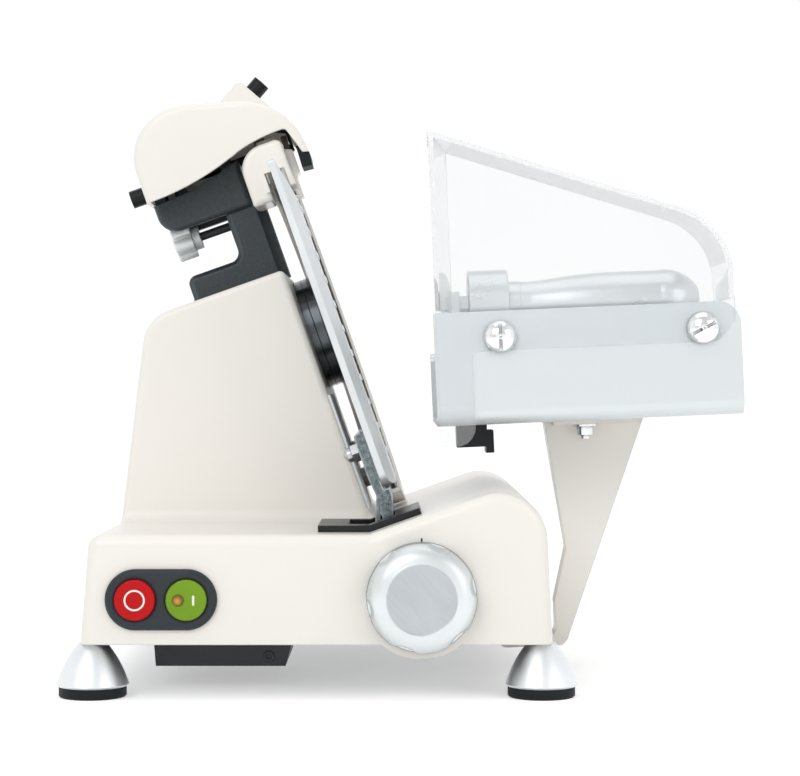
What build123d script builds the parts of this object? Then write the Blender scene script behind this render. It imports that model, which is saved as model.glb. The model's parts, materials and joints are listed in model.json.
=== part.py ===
# Electric food slicer with a tilted round blade, a thickness gauge plate, a sharpener on its tower
# and a sliding carriage that tilts away from the blade for cleaning.
# Millimetres and degrees. The origin is on the table, under the middle of the whole outline.
# +X points from the tower to the carriage, +Y from the operator to the back, +Z up.

import math
import os

from build123d import *

os.makedirs("parts", exist_ok=True)

# Base casting
base_mid_x = -51.66
base_mid_y = -8.2
base_width = 285.0
base_depth = 320.0
base_height = 66.0
base_lean = 5.2
base_wall = 5.0
base_corner = 9.0
base_edge = 7.0
hump_inset = 5.0
hump_radius = 30.0
deck_bend = 6.0
tilt = 19.5

# Tower on the base
tower_depth = 172.0
tower_setback = 128.0
tower_wall = 5.0
tower_top = 44.0
tower_side = -21.2
tower_foot = 6.9
tower_shoulder = 25.0
tower_shoulder_radius = 26.0
tower_edge = 4.0
tower_corner = 4.0
tower_cove = 8.0

# Feet
foot_height = 32.7
pad_height = 6.5
pad_radius = 20.5
foot_radius = 22.0
foot_neck_radius = 8.4
foot_bulge = 1.5
foot_rim = 1.2
foot_inset = 6.5
foot_setback = 14.0
rear_foot_shift = 47.0
stud_radius = 3.0
stud_engagement = 14.0

# Blade and drive
cut_from_base_mid = 52.16
cut_above_base = 7.17
blade_setback = 225.0
blade_radius = 125.0
blade_hub_back = -9.4
blade_thickness = 2.8
hub_radius = 39.0
housing_flange = 5.3
spindle_radius = 8.5
bearing_radius = 17.5
bearing_width = 10.0
housing_radius = 22.0
housing_length = 44.0
belt_width = 10.0
belt_thickness = 2.5
blade_pulley_radius = 34.0
motor_pulley_radius = 14.0
motor_above_deck = 40.0
motor_radius = 38.0
motor_length = 62.0
motor_shaft_radius = 5.0
bulkhead = 6.0

# Ring guard, blade cover and slice deflector
guard_gap = 3.0
guard_wall = 3.0
guard_back = -14.0
guard_lip = 3.0
guard_lip_width = 10.0
deck_gap = 1.0
cover_margin = 23.0
standoff_radius = 7.0
standoff_from_rim = 17.4
guard_screw_bore = 2.5
guard_screw_grip = 4.0
deflector_thickness = 1.5

# Gauge plate and thickness drive
gauge_setback = 39.0
gauge_rear = 123.0
gauge_below_rim = 20.0
gauge_above_deck = 22.5
gauge_back = -5.4
gauge_face = 3.4
gauge_edge = 4.2
gauge_lead = 14.0
gauge_top_lead = 22.0
rib_height = 0.8
rib_width = 4.0
rib_pitch = 16.5
rib_margin = 12.0
gauge_travel = 15.0
bracket_sheet = 2.5
bracket_width = 40.0
gauge_bolt_radius = 3.0
gauge_bolt_above_deck = 47.5
gauge_rod_radius = 3.5
gauge_rod_gap = 40.0
seal_thickness = 4.0
knob_from_base_mid = 63.3
knob_above_base = 28.8
knob_radius = 33.2
knob_face_radius = 21.4
knob_height = 19.0
knob_scallops = 6
knob_scallop_radius = 16.0
knob_scallop_depth = 1.7
knob_lip = 1.4
knob_boss_radius = 37.6
knob_boss_depth = 22.0
knob_spindle_radius = 5.0
knob_turn = 300.0
cam_root = 6.5
cam_width = 8.0
follower_radius = 3.0
follower_gap = 0.6

# Button panel
panel_length = 67.3
panel_height = 36.6
panel_thickness = 4.0
panel_from_left = 49.5
panel_above_base = 27.3
button_spacing = 30.8
button_radius = 12.3
button_proud = 2.5
lens_radius = 3.4

# Sharpener, in the blade's own directions: across the blade and up along it
sharpener_front = 160.0
sharpener_rear = 245.0
hood_left = -94.6
hood_right = 20.6
hood_wall = 3.0
lip_length = 30.0
plunger_radius = 3.0
grind_above_rim = 6.4
grind_stone_radius = 10.5
deburr_above_rim = 4.0
deburr_stone_radius = 9.5
deburr_angle = 30.0
press_button_radius = 6.2
press_button_length = 9.6
press_travel = 2.8
grind_travel = 4.0
clamp_below_rim = 34.0
clamp_radius = 12.4
clamp_room = 1.5

# Carriage
open_angle = 17.0
rod_inset = 20.2
rod_above_base = 21.2
rod_radius = 6.5
bush_radius = 9.5
bush_length = 44.0
arm_hub_radius = 12.5
arm_thickness = 22.0
arm_setback = 115.0
tray_left = -44.0
tray_right = 144.0
tray_floor = 111.0
tray_top = 180.5
tray_sheet = 3.0
tray_bend = 9.0
tray_setback = 25.0
tray_depth = 200.0
hand_guard_sheet = 3.0
hand_guard_gap = 0.2
hand_guard_flange = 70.0
hand_guard_top = 292.7
hand_guard_left = -43.0
hand_guard_right = 140.3
hand_guard_lower = 156.0
hand_guard_radius = 45.0
hand_guard_slope = 19.36
guard_screw_radius = 9.8
guard_screw_height = 6.5
guard_screw_slot = 2.0

# Food pusher on the carriage
pusher_rod_setback = 217.0
pusher_rod_height = 150.0
pusher_rod_radius = 5.0
sleeve_radius = 8.0
pusher_hub_radius = 12.0
handle_setback = 118.0
handle_height = 185.5
collar_radius = 24.5
grip_radius = 19.8
grip_neck_radius = 16.0
spike_length = 5.0

# Clearances
running = 0.05
loose = 0.3

# Places worked out from the sizes above
base_left = base_mid_x - base_width / 2
base_right = base_mid_x + base_width / 2
base_front = base_mid_y - base_depth / 2
base_rear = base_mid_y + base_depth / 2
base_bottom = foot_height
base_top = base_bottom + base_height
cos_t = math.cos(math.radians(tilt))
sin_t = math.sin(math.radians(tilt))
guard_radius = blade_radius + guard_gap + guard_wall
deck = -(guard_radius + deck_gap)
rim = blade_radius
blade_x = base_mid_x + cut_from_base_mid + deck * sin_t
blade_y = base_front + blade_setback
blade_z = base_top + cut_above_base - deck * cos_t
motor_drop = -deck - motor_above_deck
gauge_top = rim - gauge_below_rim
gauge_bottom = deck + gauge_above_deck
gauge_bolt_line = deck + gauge_bolt_above_deck
grind_line = rim + grind_above_rim
deburr_line = rim + deburr_above_rim
clamp_line = rim - clamp_below_rim
cover_radius = rim - cover_margin
tower_front = base_front + tower_setback
tower_rear = tower_front + tower_depth
knob_x = base_mid_x + knob_from_base_mid
knob_z = base_bottom + knob_above_base
panel_x = base_left + panel_from_left
panel_z = base_bottom + panel_above_base
pivot_x = base_right - rod_inset
pivot_z = base_bottom + rod_above_base
rest_slope = math.radians(tilt - open_angle)
cos_s = math.cos(rest_slope)
sin_s = math.sin(rest_slope)
across = Vector(cos_t, 0, sin_t)
along_tray = Vector(cos_s, 0, sin_s)
towards_front = (0, -1, 0)


def depth(setback):
    """The Y place of something that lies this far behind the base's front face."""
    return base_front + setback


def front_plane(y):
    """A plane facing the operator, with X to the right and Z up."""
    return Plane(origin=(0, y, 0), x_dir=(1, 0, 0), z_dir=towards_front)


def cut_side(y):
    """A plane facing the operator, measured from the blade's axis: across the blade, then up along it."""
    return Plane(origin=(blade_x, y, blade_z), x_dir=across, z_dir=towards_front)


def cut_face(u):
    """A plane parallel to the blade: Y from the blade's axis, then up along the blade."""
    origin = Vector(blade_x, blade_y, blade_z) + across * u
    return Plane(origin=origin, x_dir=(0, 1, 0), z_dir=across)


def cut_floor(v):
    """A plane square to the blade's height: across the blade, then Y."""
    origin = Vector(blade_x, 0, blade_z) + Vector(-sin_t, 0, cos_t) * v
    return Plane(origin=origin, x_dir=across, z_dir=(-sin_t, 0, cos_t))


def tray_side(y):
    """A plane facing the operator, measured from the carriage rod: along the tray, then up from it."""
    return Plane(origin=(pivot_x, y, pivot_z), x_dir=along_tray, z_dir=towards_front)


def tray_end(a):
    """A plane square to the tray's length: Y, then up from the carriage rod."""
    origin = (pivot_x + a * cos_s, 0, pivot_z + a * sin_s)
    return Plane(origin=origin, x_dir=(0, 1, 0), z_dir=along_tray)


def cut_point(u, v):
    """X and Z of a point given across and along the blade."""
    return (blade_x + u * cos_t - v * sin_t, blade_z + u * sin_t + v * cos_t)


def cut_place(x, z):
    """Across and along the blade, for a point given in X and Z."""
    dx = x - blade_x
    dz = z - blade_z
    return (dx * cos_t + dz * sin_t, dz * cos_t - dx * sin_t)


def on_line_at_x(x, v):
    """The point of the line at height v along the blade that has this X."""
    u = (x - blade_x + v * sin_t) / cos_t
    return cut_point(u, v)


def on_line_at_z(z, v):
    """The point of the line at height v along the blade that has this Z."""
    u = (z - blade_z - v * cos_t) / sin_t
    return cut_point(u, v)


def write(piece, name):
    """Label a finished piece and write its STEP file."""
    piece.part.label = name
    export_step(piece.part, f"parts/{name}.step")


foot_places = [
    (base_left + foot_inset, depth(foot_setback)),
    (base_right - foot_inset, depth(foot_setback)),
    (base_left + foot_inset, base_rear - foot_setback),
    (base_right - foot_inset - rear_foot_shift, base_rear - foot_setback),
]
cover_screw_places = [
    (base_left + 11, depth(62)),
    (base_left + 11, base_rear - 40),
    (pivot_x - 40, depth(112)),
    (pivot_x - 40, base_rear - 40),
]
cover_screw_radius = 2.5
cover_screw_length = 12.0
column_radius = 6.0
rod_boss_radius = 11.0
rod_boss_depth = 12.0
rod_seat = 8.0

# The hollow inside the casting, with the columns, bosses and lugs that stay standing in it
knob_u, knob_v = cut_place(knob_x, knob_z)
gauge_rod_line = deck - 15.5
lug_bottom = deck - 24
lug_left = -58.0
lug_right = 40.0
lug_length = 6.0
lug_front = depth(30)
lug_rear = depth(86)
bulkhead_face = -90.0
bulkhead_top = 50 - motor_drop
bulkhead_bottom = deck - 18
with BuildPart() as hollow:
    with BuildSketch(front_plane(base_rear - base_wall)):
        with BuildLine():
            FilletPolyline(
                (base_left + base_wall, base_bottom - 1),
                (base_left + base_lean + base_wall, base_top - base_wall),
                on_line_at_z(base_top - base_wall, deck - base_wall),
                on_line_at_x(base_right - hump_inset - base_wall, deck - base_wall),
                (base_right - base_wall, base_bottom - 1),
                radius=[0, base_corner - base_wall, 0, hump_radius - base_wall, 0],
                close=True,
            )
        make_face()
    extrude(amount=base_depth - 2 * base_wall)
    with BuildSketch(front_plane(tower_rear - tower_wall)):
        with BuildLine():
            FilletPolyline(
                (base_left + tower_foot + tower_wall, base_top - 2 * base_wall),
                on_line_at_x(base_left + tower_shoulder + tower_wall, tower_top - tower_wall),
                cut_point(tower_side - tower_wall, tower_top - tower_wall),
                cut_point(tower_side - tower_wall, deck - 2 * base_wall),
                radius=[0, tower_shoulder_radius - tower_wall, 0, 0],
                close=True,
            )
        make_face()
    extrude(amount=tower_depth - 2 * tower_wall)
    with BuildSketch(Plane.XY.offset(base_bottom - 1)):
        with Locations(*foot_places):
            Circle(foot_inset + 1)
        with Locations(*cover_screw_places):
            Circle(column_radius)
    extrude(amount=base_height + 30, mode=Mode.SUBTRACT)
    with BuildSketch(front_plane(depth(base_wall + rod_boss_depth))):
        with Locations((pivot_x, pivot_z)):
            Circle(rod_boss_radius)
    extrude(amount=rod_boss_depth, mode=Mode.SUBTRACT)
    with BuildSketch(front_plane(base_rear - base_wall)):
        with Locations((pivot_x, pivot_z)):
            Circle(rod_boss_radius)
    extrude(amount=rod_boss_depth, mode=Mode.SUBTRACT)
    with BuildSketch(cut_side(lug_rear)):
        for lug_start in (lug_left, lug_right):
            with Locations((lug_start, lug_bottom)):
                Rectangle(lug_length, 40, align=(Align.MIN, Align.MIN))
    extrude(amount=lug_rear - lug_front, mode=Mode.SUBTRACT)
    with BuildSketch(cut_side(tower_rear)):
        with Locations((bulkhead_face, bulkhead_bottom)):
            Rectangle(bulkhead, bulkhead_top - bulkhead_bottom, align=(Align.MIN, Align.MIN))
    extrude(amount=tower_depth, mode=Mode.SUBTRACT)

# The tower's outer block, rounded along its front and back outlines
with BuildPart() as tower_block:
    with BuildSketch(front_plane(tower_rear)):
        with BuildLine():
            FilletPolyline(
                (base_left + tower_foot, base_top - 16),
                on_line_at_x(base_left + tower_shoulder, tower_top),
                cut_point(tower_side, tower_top),
                cut_point(tower_side, deck - 2),
                radius=[0, tower_shoulder_radius, tower_corner, 0],
                close=True,
            )
        make_face()
    extrude(amount=tower_depth)
    outline = tower_block.edges().filter_by(lambda e: e.center().Z > base_top + 3)
    ends = outline.filter_by_position(Axis.Y, tower_front - 0.1, tower_front + 0.1)
    ends += outline.filter_by_position(Axis.Y, tower_rear - 0.1, tower_rear + 0.1)
    fillet(ends, tower_edge)

slot_left = -33.0
slot_right = -4.0
slot_front = depth(gauge_setback + 1)
slot_rear = depth(gauge_setback + 1 + bracket_width + 3)
grommet_x = base_left + 60
grommet_z = base_bottom + 22
grommet_radius = 7.0
standoff_reach = rim - standoff_from_rim
standoffs = []
for turn in (-54.8, -84.0):
    spot = (standoff_reach * math.cos(math.radians(turn)), standoff_reach * math.sin(math.radians(turn)))
    standoffs.append(spot)
button_places = [(panel_x - button_spacing / 2, panel_z), (panel_x + button_spacing / 2, panel_z)]
with BuildPart() as body_casting:
    with BuildSketch(front_plane(base_rear)):
        with BuildLine():
            FilletPolyline(
                (base_left, base_bottom),
                (base_left + base_lean, base_top),
                on_line_at_z(base_top, deck),
                on_line_at_x(base_right - hump_inset, deck),
                (base_right, base_bottom),
                radius=[0, base_corner, deck_bend, hump_radius, 0],
                close=True,
            )
        make_face()
    extrude(amount=base_depth)
    outline = body_casting.edges().filter_by(lambda e: e.center().Z > base_bottom + 3)
    ends = outline.filter_by_position(Axis.Y, base_front - 0.1, base_front + 0.1)
    ends += outline.filter_by_position(Axis.Y, base_rear - 0.1, base_rear + 0.1)
    fillet(ends, base_edge)
    add(tower_block.part)
    deck_edges = body_casting.edges().filter_by_position(Axis.Z, base_top - 0.1, base_top + 0.1)
    foot_edges = deck_edges.filter_by_position(Axis.Y, tower_front - 0.1, tower_front + 0.1)
    fillet(foot_edges, tower_cove)
    with BuildSketch(front_plane(depth(knob_boss_depth))):
        with Locations((knob_x, knob_z)):
            Circle(knob_boss_radius)
    extrude(amount=knob_boss_depth)
    add(hollow.part, mode=Mode.SUBTRACT)
    with BuildSketch(front_plane(depth(knob_boss_depth))):
        with Locations((knob_x, knob_z)):
            Circle(knob_spindle_radius + running)
        with Locations(*button_places):
            Circle(button_radius + 2 * loose)
    extrude(amount=knob_boss_depth + 1, mode=Mode.SUBTRACT)
    with BuildSketch(front_plane(base_rear - base_wall - rod_boss_depth + rod_seat)):
        with Locations((pivot_x, pivot_z)):
            Circle(rod_radius)
    extrude(amount=base_depth - 2 * (base_wall + rod_boss_depth - rod_seat), mode=Mode.SUBTRACT)
    with BuildSketch(front_plane(base_rear + 1)):
        with Locations((grommet_x, grommet_z)):
            Circle(grommet_radius)
    extrude(amount=base_wall + 2, mode=Mode.SUBTRACT)
    with BuildSketch(cut_face(tower_side - 2 * tower_wall)):
        Circle(housing_radius + running)
    extrude(amount=3 * tower_wall, mode=Mode.SUBTRACT)
    with BuildSketch(cut_face(tower_side - guard_screw_grip)):
        with Locations(*standoffs):
            Circle(guard_screw_bore)
    extrude(amount=guard_screw_grip + 1, mode=Mode.SUBTRACT)
    with BuildSketch(cut_face(bulkhead_face - 1)):
        with Locations((0, -motor_drop)):
            Circle(motor_pulley_radius + 4)
    extrude(amount=bulkhead + 2, mode=Mode.SUBTRACT)
    with BuildSketch(cut_face(lug_left - 1)):
        for side in (lug_front + 8, lug_front + 8 + gauge_rod_gap):
            with Locations((side - blade_y, gauge_rod_line)):
                Circle(gauge_rod_radius)
    extrude(amount=lug_right + lug_length - lug_left + 2, mode=Mode.SUBTRACT)
    with BuildSketch(cut_side(slot_rear)):
        with Locations((slot_left, deck - 12)):
            Rectangle(slot_right - slot_left, 28, align=(Align.MIN, Align.MIN))
    extrude(amount=slot_rear - slot_front, mode=Mode.SUBTRACT)
    with BuildSketch(Plane.XY.offset(base_bottom - 10)):
        with Locations(*foot_places):
            Circle(stud_radius)
    extrude(amount=10 + stud_engagement, mode=Mode.SUBTRACT)
    with BuildSketch(Plane.XY.offset(base_bottom)):
        with Locations(*cover_screw_places):
            Circle(cover_screw_radius)
    extrude(amount=cover_screw_length, mode=Mode.SUBTRACT)
write(body_casting, "body_casting")

# Feet: metal bells with rubber pads, on studs screwed into the casting
foot_low = pad_height + foot_rim
foot_mid = ((foot_neck_radius + foot_radius) / 2 + foot_bulge, (base_bottom + foot_low) / 2)
with BuildSketch(Plane.XZ) as bell:
    with BuildLine():
        Polyline((0, pad_height), (foot_radius - foot_rim, pad_height), (foot_radius, foot_low))
        ThreePointArc((foot_radius, foot_low), foot_mid, (foot_neck_radius, base_bottom))
        Polyline((foot_neck_radius, base_bottom), (0, base_bottom), (0, pad_height))
    make_face()
    with Locations((0, base_bottom)):
        Rectangle(2 * stud_radius, 2 * stud_engagement, mode=Mode.SUBTRACT)
with BuildPart() as foot_cones:
    with Locations(*[Location((x, y, 0)) for x, y in foot_places]):
        add(revolve(bell.sketch, axis=Axis.Z, mode=Mode.PRIVATE))
write(foot_cones, "foot_cones")

with BuildPart() as foot_pads:
    with Locations(*[Location((x, y, 0)) for x, y in foot_places]):
        Cylinder(pad_radius, pad_height, align=(Align.CENTER, Align.CENTER, Align.MIN))
    rims = foot_pads.edges().filter_by_position(Axis.Z, -0.1, 0.1)
    chamfer(rims, 1)
write(foot_pads, "foot_pads")

with BuildPart() as foot_studs:
    with Locations(*[Location((x, y, base_bottom)) for x, y in foot_places]):
        Cylinder(stud_radius, 2 * stud_engagement - 1)
write(foot_studs, "foot_studs")

# Bottom cover, the electrics box hung under it, and their screws
cover_sheet = 1.5
cover_left = base_left + 3
cover_right = pivot_x - 24
cover_front = depth(28)
cover_rear = base_rear - 28
box_left = base_left + 38
box_right = base_left + 126
box_front = depth(60)
box_rear = depth(150)
box_height = 19.0
box_wall = 2.5
box_screw_inset = 15.4
with BuildPart() as bottom_cover:
    with BuildSketch(Plane.XY.offset(base_bottom - cover_sheet)):
        with Locations(((cover_left + cover_right) / 2, (cover_front + cover_rear) / 2)):
            RectangleRounded(cover_right - cover_left, cover_rear - cover_front, 6)
        with Locations(*cover_screw_places):
            Circle(cover_screw_radius + loose, mode=Mode.SUBTRACT)
    extrude(amount=cover_sheet)
write(bottom_cover, "bottom_cover")

with BuildPart() as electrics_box:
    with BuildSketch(front_plane(box_rear)):
        with BuildLine():
            Polyline(
                (box_left, base_bottom - cover_sheet),
                (box_left + 1.5, base_bottom - cover_sheet - box_height),
                (box_right - 5, base_bottom - cover_sheet - box_height),
                (box_right, base_bottom - cover_sheet),
                close=True,
            )
        make_face()
    extrude(amount=box_rear - box_front)
    top = electrics_box.faces().sort_by(Axis.Z)[-1]
    offset(amount=-box_wall, openings=[top])
    with BuildSketch(front_plane(box_front)):
        with Locations((box_right - box_screw_inset, base_bottom - cover_sheet - box_height + 6)):
            Circle(3.4)
            RegularPolygon(1.8, 6, mode=Mode.SUBTRACT)
    extrude(amount=1.2)
write(electrics_box, "electrics_box")

with BuildPart() as cover_screws:
    for x, y in cover_screw_places:
        with Locations((x, y, base_bottom - cover_sheet)):
            Cylinder(cover_screw_radius, cover_sheet + cover_screw_length - 1,
                     align=(Align.CENTER, Align.CENTER, Align.MIN))
            Cylinder(5, 2.5, align=(Align.CENTER, Align.CENTER, Align.MAX))
write(cover_screws, "cover_screws")

with BuildPart() as cord_grommet:
    with Locations(Plane(origin=(grommet_x, base_rear, grommet_z), z_dir=(0, 1, 0))):
        Cylinder(grommet_radius, base_wall, align=(Align.CENTER, Align.CENTER, Align.MAX))
        Cylinder(grommet_radius + 3, 3, align=(Align.CENTER, Align.CENTER, Align.MIN))
        Cylinder(grommet_radius - 3, 3 * base_wall, mode=Mode.SUBTRACT)
write(cord_grommet, "cord_grommet")

# Button panel with its two push buttons, pilot lens and switch block
with BuildPart() as button_panel:
    with BuildSketch(front_plane(base_front)):
        with Locations((panel_x, panel_z)):
            SlotOverall(panel_length, panel_height)
    extrude(amount=panel_thickness)
    face = button_panel.faces().sort_by(Axis.Y)[0]
    chamfer(face.edges(), 1.6)
    with BuildSketch(front_plane(base_front)):
        with Locations(*button_places):
            Circle(button_radius + loose)
    extrude(amount=panel_thickness, mode=Mode.SUBTRACT)
write(button_panel, "button_panel")

button_back = depth(8)
button_face = base_front - panel_thickness - button_proud


lens_place = (button_places[1][0] - 4.7, panel_z)
lens_depth = 4.0


def push_button(place, lens_seat):
    """A round push button with a softened rim, with or without a seat for a pilot lens."""
    with BuildPart() as button:
        with BuildSketch(front_plane(button_back)):
            with Locations(place):
                Circle(button_radius)
        extrude(amount=button_back - button_face)
        fillet(button.faces().sort_by(Axis.Y)[0].edges(), 1.2)
        if lens_seat:
            with BuildSketch(front_plane(button_face + lens_depth)):
                with Locations(lens_place):
                    Circle(lens_radius)
            extrude(amount=lens_depth + 1, mode=Mode.SUBTRACT)
    return button


stop_button = push_button(button_places[0], False)
write(stop_button, "stop_button")
start_button = push_button(button_places[1], True)
write(start_button, "start_button")

with BuildPart() as pilot_lens:
    with BuildSketch(front_plane(button_face + lens_depth)):
        with Locations(lens_place):
            Circle(lens_radius)
    extrude(amount=lens_depth + 0.6)
    fillet(pilot_lens.faces().sort_by(Axis.Y)[0].edges(), 0.5)
write(pilot_lens, "pilot_lens")

switch_depth = 34.0
switch_pocket = 6.5
with BuildPart() as switch_block:
    with BuildSketch(front_plane(depth(base_wall + switch_depth))):
        with Locations((panel_x, panel_z)):
            Rectangle(panel_length - 6, panel_height - 4)
    extrude(amount=switch_depth)
    with BuildSketch(front_plane(depth(base_wall + switch_pocket))):
        with Locations(*button_places):
            Circle(button_radius + 2 * loose)
    extrude(amount=switch_pocket, mode=Mode.SUBTRACT)
write(switch_block, "switch_block")

# Motor, belt drive and blade spindle
belt_line = housing_length + -tower_side + 3
belt_start = -(belt_line + belt_width)
with BuildPart() as motor:
    with BuildSketch(cut_face(bulkhead_face)):
        with Locations((0, -motor_drop)):
            Circle(motor_radius)
            Circle(motor_shaft_radius + running, mode=Mode.SUBTRACT)
    extrude(amount=-motor_length)
    chamfer(motor.edges().filter_by(GeomType.CIRCLE).group_by(SortBy.RADIUS)[-1], 3)
write(motor, "motor")

pulley_width = belt_width + 3
with BuildPart() as motor_shaft:
    with BuildSketch(cut_face(belt_start - 1.5 + pulley_width)):
        with Locations((0, -motor_drop)):
            Circle(motor_shaft_radius)
    extrude(amount=-(belt_start - 1.5 + pulley_width - bulkhead_face + motor_length - 6))
write(motor_shaft, "motor_shaft")


def pulley(radius, bore, drop):
    """A belt pulley with two low rims, bored for its shaft."""
    with BuildPart() as wheel:
        with BuildSketch(cut_face(belt_start - 1.5)):
            with Locations((0, -drop)):
                Circle(radius)
        extrude(amount=pulley_width)
        for rim in (belt_start - 1.5, belt_start + belt_width + 0.4):
            with BuildSketch(cut_face(rim)):
                with Locations((0, -drop)):
                    Circle(radius + 2)
            extrude(amount=1.1)
        with BuildSketch(cut_face(belt_start - 2)):
            with Locations((0, -drop)):
                Circle(bore)
        extrude(amount=pulley_width + 1, mode=Mode.SUBTRACT)
    return wheel


motor_pulley = pulley(motor_pulley_radius, motor_shaft_radius, motor_drop)
write(motor_pulley, "motor_pulley")
blade_pulley = pulley(blade_pulley_radius, spindle_radius, 0)
write(blade_pulley, "blade_pulley")

with BuildPart() as drive_belt:
    belt_turn = math.degrees(math.asin((blade_pulley_radius - motor_pulley_radius) / motor_drop))
    with BuildSketch(cut_face(belt_start)):
        for grow, mode in ((loose + belt_thickness, Mode.ADD), (loose, Mode.SUBTRACT)):
            with BuildLine():
                big = blade_pulley_radius + grow
                small = motor_pulley_radius + grow
                side_x = math.cos(math.radians(belt_turn))
                side_y = -math.sin(math.radians(belt_turn))
                upper = ThreePointArc((big * side_x, big * side_y), (0, big), (-big * side_x, big * side_y))
                lower = ThreePointArc(
                    (small * side_x, small * side_y - motor_drop),
                    (0, -small - motor_drop),
                    (-small * side_x, small * side_y - motor_drop),
                )
                Line(upper @ 0, lower @ 0)
                Line(upper @ 1, lower @ 1)
            make_face(mode=mode)
    extrude(amount=belt_width)
write(drive_belt, "drive_belt")

with BuildPart() as bearing_housing:
    with BuildSketch(cut_face(tower_side)):
        Circle(hub_radius)
    extrude(amount=housing_flange)
    with BuildSketch(cut_face(tower_side)):
        Circle(housing_radius)
    extrude(amount=-housing_length)
    with BuildSketch(cut_face(tower_side - housing_length)):
        Circle(bearing_radius)
    extrude(amount=housing_length + housing_flange, mode=Mode.SUBTRACT)
write(bearing_housing, "bearing_housing")

with BuildPart() as bearings:
    for start in (tower_side - housing_length + 1, tower_side - bearing_width - 2):
        with BuildSketch(cut_face(start)):
            Circle(bearing_radius)
            Circle(spindle_radius + running, mode=Mode.SUBTRACT)
        extrude(amount=bearing_width)
write(bearings, "bearings")

hub_start = tower_side + housing_flange + loose
with BuildPart() as drive_flange:
    with BuildSketch(cut_face(hub_start)):
        Circle(hub_radius)
    extrude(amount=blade_hub_back - hub_start)
    with BuildSketch(cut_face(blade_hub_back)):
        Circle(spindle_radius + 1)
    extrude(amount=blade_thickness)
    with BuildSketch(cut_face(hub_start)):
        Circle(spindle_radius)
    extrude(amount=-(hub_start - belt_start + 4))
    with BuildSketch(cut_face(blade_hub_back - 5)):
        with PolarLocations(25, 4):
            Circle(2.5)
    extrude(amount=6, mode=Mode.SUBTRACT)
write(drive_flange, "drive_flange")

blade_face = blade_hub_back + blade_thickness
with BuildSketch(Plane.XZ) as blade_section:
    with BuildLine():
        Polyline(
            (spindle_radius + 1, blade_hub_back),
            (rim - 65, blade_hub_back),
            (rim - 33, -6.8),
            (rim - 13, -3.4),
            (rim, -0.15),
            (rim, 0),
            (rim - 6, -0.6),
            (rim - 25, -3.6),
            (rim - 65, blade_face),
            (spindle_radius + 1, blade_face),
            close=True,
        )
    make_face()
with BuildPart() as blade:
    spun = revolve(blade_section.sketch, axis=Axis.Z, mode=Mode.PRIVATE)
    with Locations(cut_face(0)):
        add(spun)
    with BuildSketch(cut_face(blade_hub_back - 1)):
        with PolarLocations(25, 4):
            Circle(2.5)
    extrude(amount=blade_thickness + 2, mode=Mode.SUBTRACT)
write(blade, "blade")

with BuildPart() as blade_screws:
    with BuildSketch(cut_face(blade_face)):
        with PolarLocations(25, 4):
            Circle(2.5)
    extrude(amount=-blade_thickness - 4)
    with BuildSketch(cut_face(blade_face)):
        with PolarLocations(25, 4):
            Circle(4.5)
    extrude(amount=2.2)
write(blade_screws, "blade_screws")

# Ring guard: a channel round the blade's back and underside, with a hollow head at its front top end
guard_start = -112.0
guard_end = 76.0
guard_flange = 34.0
head_front = -64.0
head_rear = -18.0
head_left = -27.0
head_right = 5.0
head_bottom = guard_radius - 39
head_mouth = guard_radius - 20
leg_inner = -13.0
with BuildSketch(Plane.XZ) as channel:
    with BuildLine():
        Polyline(
            (guard_radius - guard_flange, guard_back),
            (guard_radius, guard_back),
            (guard_radius, guard_lip),
            (guard_radius - guard_lip_width, guard_lip),
            (guard_radius - guard_lip_width, guard_lip - 2),
            (guard_radius - guard_wall, guard_lip - 2),
            (guard_radius - guard_wall, guard_back + guard_wall),
            (guard_radius - guard_flange, guard_back + guard_wall),
            close=True,
        )
    make_face()
with BuildPart() as guard_head:
    with BuildSketch(cut_side(blade_y + head_rear)):
        with BuildLine():
            FilletPolyline(
                (head_left, head_bottom),
                (head_left, guard_radius),
                (head_right, guard_radius),
                (head_right, head_bottom + 6),
                (leg_inner, head_bottom + 6),
                (leg_inner, head_bottom),
                radius=[2, 17, 5, 0, 0, 2],
                close=True,
            )
        make_face()
    extrude(amount=head_rear - head_front)
    face_edges = guard_head.edges().filter_by_position(
        Axis.Y, blade_y + head_front - 0.1, blade_y + head_front + 0.1)
    crown_edges = face_edges.filter_by(lambda e: cut_place(e.center().X, e.center().Z)[1] > head_bottom + 8)
    fillet(crown_edges.filter_by(lambda e: cut_place(e.center().X, e.center().Z)[0] < leg_inner - 1
                                 or cut_place(e.center().X, e.center().Z)[1] > head_mouth), 4)
    with BuildSketch(cut_side(blade_y + head_rear + 1)):
        with BuildLine():
            Polyline(
                (leg_inner, head_bottom - 1),
                (leg_inner, guard_radius - guard_wall - 9),
                (guard_lip - 5, guard_radius - guard_wall),
                (guard_lip - 2, guard_radius - guard_wall),
                (guard_lip - 2, head_bottom - 1),
                close=True,
            )
        make_face()
    extrude(amount=head_rear + 1 - head_front - guard_wall, mode=Mode.SUBTRACT)
    with BuildSketch(cut_side(blade_y + head_front + guard_wall + 1)):
        with Locations((leg_inner, head_bottom - 1)):
            Rectangle(guard_lip - 2 - leg_inner, head_mouth - head_bottom + 1, align=(Align.MIN, Align.MIN))
    extrude(amount=guard_wall + 2, mode=Mode.SUBTRACT)
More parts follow.
